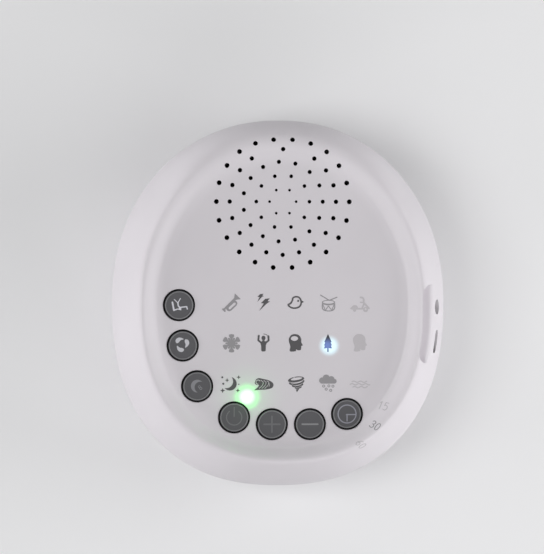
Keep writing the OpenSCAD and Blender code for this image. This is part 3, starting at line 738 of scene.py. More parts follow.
grille = {
    "Centre Y": 36.0,
    "Ring Pitch": 4.7,
    "Draw In Start": 15.0,
    "Draw In": 0.02,
    "Drill Above": 1.6,
    "Drill Below": 5.0,
    "Mouth Depth": 0.16,
    "Mouth Flare": 1.16,
}
grilleRings = [(6, 0.95), (10, 1.3), (15, 1.45), (20, 1.55), (22, 1.7)]     # holes and their diameter
bareRing = 4            # this ring has no hole beside the grille's top
bareTurn = 18.0
castHeight = 12.0       # places are cast onto the skin from this high above the floor


def grilleDrill():
    low, mouth, flare = -grille["Drill Below"], grille["Mouth Depth"], grille["Mouth Flare"]
    return joined("drill", [turnedProfile([
        (0, low), (1, low), (1, -mouth), (1.04, -mouth * 0.5), (flare, 0.02),
        (flare + 0.3, grille["Drill Above"]), (0, grille["Drill Above"]),
    ], steps=24)])


def grilleDrills(target):
    drill = grilleDrill()
    tree, size = shapeTree("grille drills", grille)
    index = Calc(tree, tree.nodes.new("GeometryNodeInputIndex").outputs[0])
    skin, tool = (meshOf(tree, thing) for thing in (target, drill))
    tilt = math.radians(housing["Floor Tilt"])
    join = tree.nodes.new("GeometryNodeJoinGeometry")
    for ring, (count, width) in enumerate(grilleRings, 1):
        turn = index * (2 * math.pi / count)
        reach = size["Ring Pitch"] * ring
        y = turn.math("SINE") * reach
        climb = (y - size["Draw In Start"]).math("MAXIMUM", 0)
        y = y - climb * climb * size["Draw In"] + size["Centre Y"]
        place = addNode(tree, "ShaderNodeCombineXYZ", {
            "X": turn.math("COSINE") * reach * mm,
            "Y": (y * math.cos(tilt) - castHeight * math.sin(tilt)) * mm,
            "Z": (y * math.sin(tilt) + (castHeight * math.cos(tilt) + housing["Floor Height"])) * mm,
        })
        points = addNode(tree, "GeometryNodePoints", {"Count": count, "Position": place.outputs[0]})
        if ring == bareRing:
            side = (turn * (180 / math.pi) - 90).math("ABSOLUTE")
            points = addNode(tree, "GeometryNodeDeleteGeometry", {
                "Geometry": points.outputs[0],
                "Selection": (side - bareTurn).math("ABSOLUTE").math("LESS_THAN", 1.0),
            }, domain="POINT")
        cast = addNode(tree, "GeometryNodeRaycast", {
            "Target Geometry": skin, "Ray Direction": (0, math.sin(tilt), -math.cos(tilt)), "Ray Length": 0.1,
        })
        store = addNode(tree, "GeometryNodeStoreNamedAttribute", {
            "Geometry": points.outputs[0], "Name": "skinNormal", "Value": cast.outputs["Hit Normal"],
        }, data_type="FLOAT_VECTOR", domain="POINT")
        normal = addNode(tree, "GeometryNodeInputNamedAttribute", {
            "Name": "skinNormal",
        }, data_type="FLOAT_VECTOR")
        drop = addNode(tree, "GeometryNodeSetPosition", {
            "Geometry": store.outputs[0], "Position": cast.outputs["Hit Position"],
        })
        stand = addNode(tree, "FunctionNodeAlignRotationToVector", {
            "Vector": normal.outputs["Attribute"],
        }, axis="Z")
        put = addNode(tree, "GeometryNodeInstanceOnPoints", {
            "Points": drop.outputs[0], "Instance": tool, "Rotation": stand.outputs[0],
            "Scale": (width / 2, width / 2, 1),
        })
        tree.links.new(put.outputs[0], join.inputs[0])
    mesh = bpy.data.meshes.new("grilleDrills")
    result = grown("grilleDrills", mesh, tree, grille, join, shellWhite)
    bpy.data.objects.remove(drill)
    return result


# side recess and the holes of the two sockets in it

recess = {
    "ledgeZ": 41.9,
    "length": 28.0,
    "middleY": -7.2,
    "reachIn": 10.5,
    "corner": 3.8,
    "lipRadius": 2.0,
    "lipInset": 7.76,
    "lipTurn": 62,
    "outside": -9.0,        # inset of the tool's outer end, clear of the housing
    "jackHole": 5.4,
    "slotWidth": 8.4,
    "slotHeight": 3.4,
    "holeStart": 46.0,
    "holeEnd": 66.0,
    "cornerSteps": 12,
    "ledgeSteps": 14,
}
lipReach = recess["lipRadius"] * math.sin(math.radians(recess["lipTurn"]))


def recessStations(margin):
    # (distance along the housing, reach of the rounded corner) for each slice of the recess
    middle, half = recess["middleY"], recess["length"] / 2 + margin
    corner, steps = recess["corner"] + margin, recess["cornerSteps"]
    start = middle - half + corner
    turns = [math.pi / 2 * (1 - i / steps) for i in range(steps + 1)]
    low = [(start - corner * math.sin(turn), corner * (1 - math.cos(turn))) for turn in turns]
    straight = [(middle + (half - corner) * (i / 6 - 1), 0) for i in range(1, 12)]
    return low + straight + [(2 * middle - y, reach) for y, reach in reversed(low)]


def lipHeight(inset):
    # the ledge runs level and rolls over into the outer skin
    across = min(recess["lipInset"] - inset, lipReach)
    if across <= 0:
        return recess["ledgeZ"]
    return recess["ledgeZ"] - recess["lipRadius"] + math.sqrt(recess["lipRadius"] ** 2 - across ** 2)


def recessTool(margin=0.0):
    # the space that the recess takes, or that space grown by a margin, as a loft along the housing
    top = housing["Crest Height"] + 8
    points, faces = [], []
    stations, steps = recessStations(margin), recess["ledgeSteps"]
    for y, reach in stations:
        start = recess["reachIn"] + margin - reach
        insets = [mix(start, recess["lipInset"] - lipReach, i / steps) for i in range(steps + 1)]
        floor = [(inset, recess["ledgeZ"] - margin if margin else lipHeight(inset)) for inset in insets]
        section = [(start, top), *floor, (recess["outside"], floor[-1][1]), (recess["outside"], top)]
        points += [Vector((outlineX(y, inset), y, z)) * mm for inset, z in section]
    width = len(points) // len(stations)
    for a in range(0, len(points) - width, width):
        b = a + width
        faces += [(a + j, b + j, b + (j + 1) % width, a + (j + 1) % width) for j in range(width)]
    return points, faces + [tuple(range(width)), tuple(range(len(points) - 1, len(points) - 1 - width, -1))]


def slotTool(node, width, height):
    # a flat bar with round sides along X, through the wall at a socket
    middle = middleOf(node) / mm
    steps = 12
    turns = [math.pi * i / steps - math.pi / 2 for i in range(steps + 1)]
    ring = [
        (side * ((width - height) / 2 + height / 2 * math.cos(turn)), side * height / 2 * math.sin(turn))
        for side in (1, -1) for turn in turns
    ]
    count = len(ring)
    points = [
        Vector((x, middle.y + across, middle.z + up)) * mm
        for x in (recess["holeStart"], recess["holeEnd"]) for across, up in ring
    ]
    faces = [(i, (i + 1) % count, count + (i + 1) % count, count + i) for i in range(count)]
    return points, faces + [tuple(range(count - 1, -1, -1)), tuple(range(count, 2 * count))]


def socketHoles():
    jack = middleOf("headphone_socket") / mm
    along = upright(recess["holeStart"], jack.y, jack.z) @ Matrix.Rotation(math.pi / 2, 4, "Y")
    hole = pillar(recess["jackHole"] / 2, 0, recess["holeEnd"] - recess["holeStart"], along)
    return [hole, slotTool("charging_socket", recess["slotWidth"], recess["slotHeight"])]


# bosses, posts and bores of both shells

fixings = {
    "boardDepth": 9.0,
    "boardPost": 2.3,
    "boardBore": 0.95,
    "boardGrip": 4.5,
    "caseBoss": 3.4,
    "casePost": 4.4,
    "caseBore": 1.55,
    "caseGrip": 10.0,
    "caseWell": 3.2,
    "caseSeat": 9.0,
    "caseClearance": 1.7,
    "caseInset": 10.6,
    "speakerY": 34.0,
    "speakerDepth": 8.0,
    "seatInner": 24.7,
    "seatOuter": 26.5,
    "speakerPost": 2.2,
    "speakerPostReach": 28.5,
    "rim": 1.2,
    "portPost": 2.2,
    "portBoardZ": 33.9,
    "portPostTop": 41.0,
    "portPostIn": 4.0,
    "jackHalf": 3.2,
    "usbHalf": 4.0,
    "portPostGap": 4.2,
    "holderPost": 2.3,
    "holderPostTop": 4.9,
    "holderBore": 2.6,
    "holderHead": 2.7,
    "foot": 5.0,
    "footGap": 0.15,
}
caseAngles = [37, 143, 221, 319]


def pillar(radius, low, high, place, steps=40):
    return turnedProfile([(0, low), (radius, low), (radius, high), (0, high)], place, steps)


def pillars(spots, radius, low, high, steps=40, tilted=False):
    # upright, or square to the floor
    return [pillar(radius, low, high, (onFloor if tilted else upright)(x, y), steps) for x, y in spots]


caseSpots = [outline(housing, wayAt(angle), fixings["caseInset"]) for angle in caseAngles]


def boardPostSpots():
    lounge, crescent, power, plus, minus = (
        Vector(keySpots[name]) for name in ("lounge", "crescent", "power", "plus", "minus")
    )
    side = (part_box("light_baffle")[1].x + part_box("port_board")[0].x) / 2 / mm
    return [
        lounge + Vector((8.7, 4)),
        crescent * 0.55 + power * 0.51,
        (plus + minus) / 2 + Vector((0, 6.1)),
        Vector((side, -13.5)),
        Vector((side, 3.5)),
    ]


def speakerPostSpots():
    reach = fixings["speakerPostReach"]
    turns = [math.radians(45 + 90 * i) for i in range(4)]
    return [Vector((reach * math.cos(turn), fixings["speakerY"] + reach * math.sin(turn))) for turn in turns]


def portPostSpots():
    jack, usb = middleOf("headphone_socket").y / mm, middleOf("charging_socket").y / mm
    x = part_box("port_board")[0].x / mm + fixings["portPostIn"]
    between = (usb + fixings["usbHalf"] + jack - fixings["jackHalf"]) / 2
    return [Vector((x, between)), Vector((x, jack + fixings["jackHalf"] + fixings["portPostGap"]))]


def topBosses():
    deep, low, girth = -fixings["boardDepth"], -fixings["speakerDepth"], housing["Girth Height"]
    made = pillars(boardPostSpots(), fixings["boardPost"], deep, 0, tilted=True)
    made += pillars(caseSpots, fixings["caseBoss"], girth, girth + 30, 48)
    made += pillars(speakerPostSpots(), fixings["speakerPost"], low - fixings["rim"], 0, tilted=True)
    made += pillars(portPostSpots(), fixings["portPost"], fixings["portBoardZ"], fixings["portPostTop"])
    inner, outer = fixings["seatInner"], fixings["seatOuter"]
    seat = [(inner, low + 1), (outer, low + 1), (outer, 0), (inner, 0), (inner, low + 1)]
    return made + [turnedProfile(seat, onFloor(0, fixings["speakerY"]), 96)]


def topBores():
    bore, grip, girth = fixings["boardBore"], fixings["boardGrip"], housing["Girth Height"]
    deep, low = -fixings["boardDepth"], -fixings["speakerDepth"] - fixings["rim"]
    z = fixings["portBoardZ"]
    made = pillars(boardPostSpots(), bore, deep - 1, deep + grip, 20, tilted=True)
    made += pillars(caseSpots, fixings["caseBore"], girth - 1, girth + fixings["caseGrip"], 24)
    made += pillars(speakerPostSpots(), bore, low - 1, low + grip, 20, tilted=True)
    return made + pillars(portPostSpots(), bore, z - 1, z + grip, 20)


# keys

keyForm = {
    "radius": 5.35,
    "gap": 0.3,
    "mouthFlare": 0.28,
    "rise": 0.45,
    "ledge": 0.85,
    "ledgeThick": 0.8,
    "ledgeDrop": 2.65,
    "stem": 1.7,
    "footZ": -4.7,
    "edgeRound": 0.3,
    "edgeDrop": 0.42,
    "beadRadius": 4.72,
    "beadHalf": 0.17,
    "faceDrop": 0.13,
    "greyEdge": 0.12,       # the grey reaches this far out from the bead, and the skirt's painted shade begins
}


def quarterTurns(steps):
    return [math.pi / 2 * i / steps for i in range(1, steps + 1)]


def keyHole(name):
    x, y = keySpots[name]
    drop = floorDrop(x, y)
    bore = keyForm["radius"] + keyForm["gap"]
    flare = keyForm["mouthFlare"]
    profile = [(0, -5), (bore, -5), (bore, -drop - flare)]
    for turn in quarterTurns(6):
        profile.append((bore + flare * (1 - math.cos(turn)), -drop - flare * (1 - math.sin(turn)) + 0.02))
    return turnedProfile(profile + [(bore + flare, 4), (0, 4)], onFloor(x, y), 96)


def keyProfile(drop):
    top = keyForm["rise"] - drop
    shoulder = top - keyForm["edgeDrop"]
    ledgeTop = -drop - keyForm["ledgeDrop"]
    ledgeLow = ledgeTop - keyForm["ledgeThick"]
    r, bead, half, edge = (keyForm[size] for size in ("radius", "beadRadius", "beadHalf", "edgeRound"))
    face = top - keyForm["faceDrop"]
    profile = [
        (0, keyForm["footZ"]), (keyForm["stem"], keyForm["footZ"]), (keyForm["stem"], ledgeLow),
        (r + keyForm["ledge"], ledgeLow), (r + keyForm["ledge"], ledgeTop), (r, ledgeTop), (r, shoulder),
    ]
    for turn in quarterTurns(5):
        profile.append((r - edge * (1 - math.cos(turn)), shoulder + edge * math.sin(turn)))
    for i in range(7):
        turn = math.pi * i / 6
        profile.append((bead + half * math.cos(turn), face + (top - face) * math.sin(turn)))
    profile += [(bead - half - 0.5, face - 0.02), (0, face - 0.03)]
    return profile, face


keyGrey = mouldedPlastic("keyGrey", (0.110, 0.109, 0.117), roughness=0.5, grainSize=3200, strength=0.1)
# painted highlight: the bead round the key's face is coloured lighter than the face
keyBead = mouldedPlastic("keyBead", (0.24, 0.24, 0.25), roughness=0.35, grainSize=3200)
# painted shade: the skirt that slopes down round the key is coloured near black
keySkirt = mouldedPlastic("keySkirt", (0.010, 0.010, 0.011), roughness=0.8, specular=0.15)


def makeKey(name):
    # gives the height of the key's face
    x, y = keySpots[name]
    profile, face = keyProfile(floorDrop(x, y))
    shape = turnedProfile(profile, onFloor(x, y), 96)
    key = joined("key" + name.capitalize(), [shape], keyGrey, keyBead, keySkirt)
    inner = keyForm["beadRadius"] - keyForm["beadHalf"]
    outer = keyForm["beadRadius"] + keyForm["beadHalf"]
    # the bead gets the painted highlight and the skirt beyond it the painted shade
    for part in key.data.polygons:
        reach = (onFloor(x, y).inverted() @ part.center).xy.length / mm
        grey, bead, skirt = 0, 1, 2
        part.material_index = bead if inner < reach < outer else grey
        if reach > outer + keyForm["greyEdge"]:
            part.material_index = skirt
    smoothShaded(key, 40)
    inPlaceOf("key_" + name, key, name + "_key")
    return face


# the two shells

shade = {
    "sideStart": 50,        # from here outward the faces belong to the sockets' holes
    "dishEdge": 45,         # and inside this, down to deepest, to the dish's own holes
    "deepest": -6,
    "flattest": 0.5,        # faces that lie flatter than this aren't a hole's wall
    "squarest": 0.2,
    "margin": 1.1,
    "mouth": 0.24,          # the top of each hole keeps the shell's colour
    "past": 0.4,
}


def shadeBores(shell, skin):
    # the walls of the grille's holes, the key holes and the sockets' holes are in shadow
    shell.data.materials.append(boreShade)
    sockets = []
    for node, high in (("headphone_socket", recess["jackHole"]), ("charging_socket", recess["slotHeight"])):
        middle = middleOf(node)
        outside = Vector((0.1, middle.y, middle.z + high / 2 * mm))
        lip = skin.ray_cast(outside, Vector((-1, 0, 0)))[0]
        shell.data.materials.append(darkInside(node + "Bore", lip.x / mm + 0.3))
        sockets.append((middle, high / 2 * shade["margin"] * mm))
    inverse = floorFrame.inverted()
    wide = recess["slotWidth"] / 2 * shade["margin"] * mm
    for face in shell.data.polygons:
        if face.center.x > shade["sideStart"] * mm and abs(face.normal.x) < shade["squarest"]:
            for i, (socket, high) in enumerate(sockets):
                away = face.center - socket
                if abs(away.y) < wide and abs(away.z) < high:
                    face.material_index = 2 + i
            continue
        spot = inverse @ face.center / mm
        flat = abs(face.normal.dot(floorRise)) > shade["flattest"]
        if flat or spot.x > shade["dishEdge"] or spot.z < shade["deepest"]:
            continue
        hit = skin.ray_cast(face.center + floorRise * castHeight * mm, -floorRise)[0]
        lowest = housing["Roof"] + shade["past"]
        if hit is not None and shade["mouth"] < (hit - face.center).dot(floorRise) / mm < lowest:
            face.material_index = 1


def makeTopShell():
    shell = topShellBlank(shellWhite)
    skin = BVHTree.FromPolygons(*partsOf(shell))
    print("top shell blank:", len(shell.data.polygons), "faces")
    drills = grilleDrills(shell)
    print("grille drills:", len(drills.data.polygons), "faces")
    added = joined("topBosses", topBosses() + [recessTool(housing["Wall"])], shellWhite)
    added = combined(added, midWallSolid(shellWhite), "INTERSECT", crossing=True)
    shell = combined(shell, added, "UNION")
    print("bosses and recess pan joined:", len(shell.data.polygons), "faces")
    holes = [keyHole(name) for name in keyNames] + topBores() + socketHoles() + [recessTool()]
    holes.append(pillar(lightHole["radius"], -5, 4, onFloor(*lightHole["spot"])))
    holes.append(partsOf(drills))
    bpy.data.objects.remove(drills)
    shell = combined(shell, joined("topCuts", holes, shellWhite), "DIFFERENCE")
    print("top shell cut:", len(shell.data.polygons), "faces")
    shadeBores(shell, skin)
    inPlaceOf("top_shell", smoothShaded(shell))
    return skin


def caseWell(x, y):
    well, seat, clearance = fixings["caseWell"], fixings["caseSeat"], fixings["caseClearance"]
    top = housing["Girth Height"] + 1
    return turnedProfile([
        (0, -1), (well + 0.25, -1), (well, 3.4), (well, seat), (clearance, seat), (clearance, top), (0, top),
    ], upright(x, y), 48)


def makeBottomShell():
    shell = bottomShellBlank(shellWhite)
    print("bottom shell blank:", len(shell.data.polygons), "faces")
    low, high = (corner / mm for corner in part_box("holder_screws"))
    head, top = fixings["holderHead"], fixings["holderPostTop"]
    holderSpots = [(x, (low.y + high.y) / 2) for x in (low.x + head, high.x - head)]
    posts = pillars(caseSpots, fixings["casePost"], -2, housing["Girth Height"], 56)
    posts += pillars(holderSpots, fixings["holderPost"], -2, top)
    added = combined(joined("bottomPosts", posts, shellWhite), midUndersideSolid(shellWhite), "INTERSECT")
    shell = combined(shell, added, "UNION")
    cuts = [caseWell(x, y) for x, y in caseSpots]
    foot = fixings["foot"]
    low, high = (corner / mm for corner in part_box("rubber_feet"))
    footSpots = [(x, y) for x in (low.x + foot, high.x - foot) for y in (low.y + foot, high.y - foot)]
    cuts += pillars(footSpots, foot + fixings["footGap"], -1, high.z, 64)
    cuts += pillars(holderSpots, fixings["boardBore"], top - fixings["holderBore"], 7, 20)
    shell = combined(shell, joined("bottomCuts", cuts, shellWhite), "DIFFERENCE")
    print("bottom shell cut:", len(shell.data.polygons), "faces")
    inPlaceOf("bottom_shell", smoothShaded(shell))


dishSkin = makeTopShell()
makeBottomShell()
keyFaces = {name: makeKey(name) for name in keyNames}
print("keys made:", len(keyFaces))


# flat artwork: outlines in millimetres, added and cut in order

def disc(x, y, radius, squash=1.0, steps=28):
    turns = [2 * math.pi * i / steps for i in range(steps)]
    return [(x + radius * math.cos(turn), y + radius * squash * math.sin(turn)) for turn in turns]


def arc(x, y, radius, start, end, squash=1.0, steps=14):
    turns = [math.radians(mix(start, end, i / steps)) for i in range(steps + 1)]
    return [(x + radius * math.cos(turn), y + radius * squash * math.sin(turn)) for turn in turns]


def curve(points, closed=True, steps=5):
    # a smooth line through the points
    spots = [Vector(p) for p in points]
    count = len(spots)
    made = []
    for i in range(count if closed else count - 1):
        near = [i - 1, i, i + 1, i + 2]
        near = [k % count if closed else min(max(k, 0), count - 1) for k in near]
        a, b, c, d = (spots[k] for k in near)
        bend, twist = a * 2 - b * 5 + c * 4 - d, b * 3 - a - c * 3 + d
        for s in (j / steps for j in range(steps)):
            made.append((b * 2 + (c - a) * s + bend * s * s + twist * s ** 3) / 2)
    return made if closed else made + [spots[-1]]


def ribbon(points, width, capSteps=5):
    # the outline of a line of that width with round ends
    path = [Vector(p) for p in points]
    half = width / 2
    last = len(path) - 1
    runs = [path[min(i + 1, last)] - path[max(i - 1, 0)] for i in range(last + 1)]
    sides = [Vector((-run.y, run.x)).normalized() * half for run in runs]

    def cap(centre, side):
        turns = [math.pi * i / capSteps for i in range(1, capSteps)]
        return [centre + Matrix.Rotation(turn, 2) @ side for turn in turns]
    right = [spot - side for spot, side in zip(path, sides)]
    left = [spot + side for spot, side in zip(path, sides)]
    return right + cap(path[-1], -sides[-1]) + left[::-1] + cap(path[0], sides[0])


def loop(points, width):
    # a closed line, as two ribbons that meet
    half = len(points) // 2
    return [ribbon(points[:half + 1], width), ribbon(points[half:] + points[:1], width)]


def turned(shape, degrees):
    turn = Matrix.Rotation(math.radians(degrees), 2)
    return [turn @ Vector(p) for p in shape]


def shifted(shape, x, y):
    return [(p[0] + x, p[1] + y) for p in shape]


def mirrored(half):
    # a whole outline from its right half, listed downwards
    return [(-x, y) for x, y in half] + [(x, y) for x, y in reversed(half)]


def add(*outlines):
    return [(True, shape) for shape in outlines]


def cut(*outlines):
    return [(False, shape) for shape in outlines]


def ring(x, y, radius, width):
    return add(disc(x, y, radius + width / 2)) + cut(disc(x, y, radius - width / 2))


def star(x, y, radius, waist=0.3):
    reach = [radius if i % 2 == 0 else radius * waist for i in range(8)]
    return [
        (x + r * math.sin(math.pi * i / 4), y + r * math.cos(math.pi * i / 4)) for i, r in enumerate(reach)
    ]


def divided(shape, longest):
    made = []
    for a, b in zip(shape, shape[1:] + shape[:1]):
        count = math.ceil((b - a).length / longest)
        made += [a.lerp(b, i / count) for i in range(count)]
    return made


def flattened(picture, grid=0.0):
    # triangles of what is left after every outline has been added or cut; a grid adds points inside
    points, loops = [], []
    for _, shape in picture:
        spots = [Vector((p[0], p[1])) for p in shape]
        if grid:
            spots = divided(spots, grid)
        area = sum(a.x * b.y - b.x * a.y for a, b in zip(spots, spots[1:] + spots[:1]))
        if area < 0:
            spots.reverse()
        loops.append(list(range(len(points), len(points) + len(spots))))
        points += spots
    if grid:
        reach = max(max(abs(p.x), abs(p.y)) for p in points)
        count = math.ceil(reach / grid)
        marks = [i * grid for i in range(-count, count + 1)]
        points += [Vector((x, y)) for x in marks for y in marks]
    spots, _, faces, _, _, sources = geometry.delaunay_2d_cdt(points, [], loops, 0, 1e-5)
    kept = [face for face, source in zip(faces, sources) if source and picture[max(source)][0]]
    return spots, kept


def printed(name, picture, place, material, body, lift=0.04, sink=0.12, grid=0.0):
    # a thin closed layer; place(x, y, height) gives the point of a surface that the layer lies on
    spots, faces = flattened(picture, grid)
    used = sorted({i for face in faces for i in face})
    index = {spot: i for i, spot in enumerate(used)}
    count = len(used)
    points = [place(spots[i].x, spots[i].y, lift) for i in used]
    points += [place(spots[i].x, spots[i].y, -sink) for i in used]
    top = [[index[i] for i in face] for face in faces]
    edges = [(face[i], face[(i + 1) % len(face)]) for face in top for i in range(len(face))]
    inside = set(edges)
    made = top + [[count + i for i in reversed(face)] for face in top]
    made += [[a, count + a, count + b, b] for a, b in edges if (b, a) not in inside]
    layer = newObject(name, meshFrom(name, points, made))
    layer.data.materials.append(material)
    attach(layer, body)
    return layer


def floorPlace(middleX, middleY, degrees=0):
    # follows the uncut skin of the dish, under its floor or its inner wall
    turn = Matrix.Rotation(math.radians(degrees), 2)

    def place(x, y, height):
        spot = turn @ Vector((x, y))
        start = onFloor(middleX + spot.x, middleY + spot.y, castHeight).translation
        hit, normal, _, _ = dishSkin.ray_cast(start, -floorRise)
        return hit + (normal if normal.dot(floorRise) > 0 else -normal) * height * mm
    return place


# icons of the sounds

def trumpet():
    bell = [(0.5, 0.9), (0.95, 0.5), (1.7, 1.0), (3.25, 1.2), (1.15, 3.25), (0.95, 1.75)]
    made = add(bell, ribbon([(1.1, 1.3), (-2.6, -2.4)], 0.7), ribbon([(1.0, -0.3), (-0.85, -2.05)], 2.1))
    made += cut(ribbon([(1.05, -0.4), (-0.65, -2.0)], 0.85))
    return made + add(ribbon([(-3.0, -2.35), (-2.4, -2.95)], 0.65))


def bolts():
    small = [
        (-2.2, 2.0), (-1.3, 3.0), (-0.1, 3.1), (-0.5, 2.6), (0, 2.2), (-0.6, 2.1), (-2.3, 0.2), (-1.5, 1.9),
    ]
    large = [
        (-1.0, -0.2), (0.5, 1.3), (2.1, 1.45), (1.3, 0.5), (2.2, 0.35), (1.3, -0.2), (0.7, -0.7),
        (-1.6, -2.9), (0.0, -0.35),
    ]
    return add(small, large)


def chick():
    body = curve([
        (-2.75, -0.85), (-1.75, -1.75), (-0.3, -2.0), (1.1, -1.55), (1.8, -0.5), (1.75, 0.75), (1.1, 1.75),
        (0, 2.05), (-1.05, 1.6), (-1.3, 0.7), (-1.9, -0.3),
    ])
    return add(*loop(body, 0.56), [(1.75, 0.85), (1.8, -0.35), (2.85, 0.25)], disc(0.79, 0.55, 0.36))


def drum():
    rim = add(disc(0.15, 0.1, 2.3, 0.36)) + cut(disc(0.15, 0.1, 1.98, 0.27))
    side = curve([
        (-1.98, 0), (-2.05, -1.6), (-1.7, -2.5), (-0.7, -2.95), (1.0, -2.95), (2.0, -2.5), (2.35, -1.6),
        (2.28, 0),
    ], False)
    ropes = [(-1.8, -0.75), (-0.95, -2.85), (0.1, -1.2), (1.3, -2.85), (2.1, -0.75)]
    sticks = [ribbon([(-2.7, 2.65), (0.4, 0.75)], 0.36), ribbon([(3.1, 1.85), (0.4, 0.75)], 0.36)]
    made = rim + add(ribbon(side, 0.34), ribbon(arc(0.15, -0.1, 2.0, 195, 345, 0.38), 0.28))
    return made + add(*[ribbon([a, b], 0.24) for a, b in zip(ropes, ropes[1:])], *sticks)


def scooter():
    rear = curve([
        (-3.55, -2.1), (-2.9, -1.4), (-2.3, -1.0), (-1.3, -1.1), (-0.7, -1.9), (-0.9, -2.4), (-2.2, -2.6),
        (-3.1, -2.45),
    ])
    front = curve([(0.1, 1.8), (0.85, 1.65), (1.2, 1.1), (1.2, 0.1), (1.7, -0.55), (3.1, -2.05)], False)
    made = add(rear, disc(-2.0, -2.75, 0.55), ribbon([(-1.2, -2.2), (0.8, -2.2)], 0.6), ribbon(front, 0.62))
    made += add(ribbon([(0.1, 0.1), (1.2, -0.1)], 0.5), ribbon([(1.3, -0.5), (0.7, -2.0)], 0.6))
    made += add(disc(1.9, -2.5, 0.9))
    return made + cut(disc(1.95, -2.35, 0.3, 1.3))


def snowflake():
    made = add(disc(0, 0, 1.2))
    fan = [(1.9, -0.5), (2.5, -0.95), (3.1, -0.85), (3.25, 0), (3.1, 0.85), (2.5, 0.95), (1.9, 0.5)]
    for i in range(6):
        made += add(*[turned(form, 60 * i + 30) for form in (ribbon([(0, 0), (2.4, 0)], 0.8), fan)])
        made += add(*[turned(form, 60 * i) for form in (ribbon([(0, 0), (1.8, 0)], 0.5), disc(1.8, 0, 0.38))])
    return made


def figure():
    body = [
        (-1.2, 0.1), (-0.7, 0.7), (0.6, 0.7), (1.05, 0.1), (0.75, -0.8), (0.7, -2.5), (-0.85, -2.5),
        (-0.9, -0.8),
    ]
    arms = [[(-1.75, 2.65), (-1.9, 1.0), (-0.7, 0.05)], [(1.65, 2.45), (1.75, 1.0), (0.55, 0.05)]]
    made = add(body, ribbon([(-0.42, -2.5), (0.27, -2.5)], 0.86), disc(-0.08, 1.85, 0.7, 1.15))
    made += add(ribbon([(-0.08, 0.8), (-0.08, 1.6)], 0.75))
    return made + add(*[ribbon(arm, 0.68) for arm in arms], ribbon([(1.6, 2.5), (0.9, 3.05), (0, 3.3)], 0.2))


def headOutline():
    # an invented calm profile that looks right
    return curve([
        (-2.1, -2.85), (-1.95, -1.2), (-2.45, 0.6), (-2.35, 1.9), (-1.4, 3.0), (0, 3.2), (1.2, 2.7),
        (1.85, 1.6), (1.9, 0.5), (2.15, -0.2), (2.45, -0.75), (1.95, -1.0), (1.9, -1.6), (1.7, -2.4),
        (0.7, -2.5), (0.1, -2.2), (-0.1, -2.85),
    ])


def openHead():
    return add(headOutline()) + cut(disc(-0.5, 1.65, 1.3, 0.64))


def pineTree():
    half = [
        (0.35, 2.5), (1.3, 0.4), (0.95, 0.25), (1.4, -0.75), (1.1, -0.9), (1.4, -1.9), (0.24, -1.75),
        (0.24, -3.1),
    ]
    return add(mirrored(half) + [(0, 3.2)])


def crescentNight():
    made = add(disc(-0.55, 0.1, 2.4, steps=48)) + cut(disc(-1.8, 0.93, 2.39, steps=48))
    sparkles = [(-3.1, -2.3, 0.9), (2.3, -2.3, 0.8), (2.55, 2.4, 0.75), (-1.55, 1.35, 0.75)]
    dots = [(-3.25, 2.4, 0.34), (-2.9, 0.1, 0.36), (2.6, -0.1, 0.22)]
    return made + add(*[star(*s, 0.38) for s in sparkles], *[disc(*d, steps=16) for d in dots])


def wave():
    body = curve([
        (-3.0, 0.9), (-2.5, 1.75), (-1.5, 2.05), (-0.2, 1.75), (1.6, 1.35), (3.1, 0.5), (3.5, -0.5),
        (2.8, -1.5), (0.8, -2.0), (-1.8, -2.1), (-3.4, -2.25), (-2.2, -1.3), (-1.6, -0.4), (-2.5, -0.3),
        (-3.1, 0.2),
    ])
    curl = ribbon(arc(-1.95, 0.65, 0.75, 30, 265, 1.0, 16), 0.26)
    streaks = [
        ribbon(curve([(x, 1.2 - 0.12 * x), (x + 0.75, 0.5), (x + 0.35, -0.6), (x - 0.7, -1.6)], False), 0.2)
        for x in (-0.9, 0.1, 1.1)
    ]
    return add(body) + cut(curl, *streaks, ribbon([(1.7, 0.3), (2.2, -0.2), (1.9, -0.9)], 0.18))


def tornado():
    made = add(turned(disc(0.35, 1.5, 2.9, 0.34), 9))
    made += cut(turned(disc(0.5, 1.72, 2.05, 0.23), 9), ribbon([(-1.15, 2.7), (-0.35, 2.05)], 0.25))
    for x, y, reach, width in ((0.3, 0.75, 2.5, 0.6), (0.62, -0.3, 1.8, 0.55), (0.82, -1.15, 1.05, 0.45)):
        lower = shifted(turned(arc(0, 0, reach, 188, 352, 0.36), 9), x, y)
        made += cut(ribbon(lower, width + 0.26)) + add(ribbon(lower, width))
    return made + add([(0.05, -1.98), (1.25, -1.75), (0.4, -2.95)])


def rainCloud():
    puffs = [disc(-2.0, 1.15, 1.1), disc(-0.6, 2.0, 1.25), disc(1.2, 1.55, 1.15), disc(2.25, 0.9, 0.85)]
    made = add(*puffs, ribbon([(-2.2, 0.65), (2.3, 0.65)], 1.2))
    for x, y in ((-1.5, -0.8), (0.35, -0.75), (1.8, -0.85), (-0.6, -1.9), (1.0, -2.35)):
        made += ring(x, y, 0.38, 0.26)
    return made


def ripples():
    lines = []
    for low, high, y, start in ((-2.8, 2.4, 0.7, 60), (-3.5, 3.5, -0.2, 150), (-2.5, 2.6, -1.2, 20)):
        xs = [mix(low, high, i / 30) for i in range(31)]
        lines.append(ribbon([(x, y + 0.24 * math.sin(math.radians(start + x * 150))) for x in xs], 0.38))
    return add(*lines)


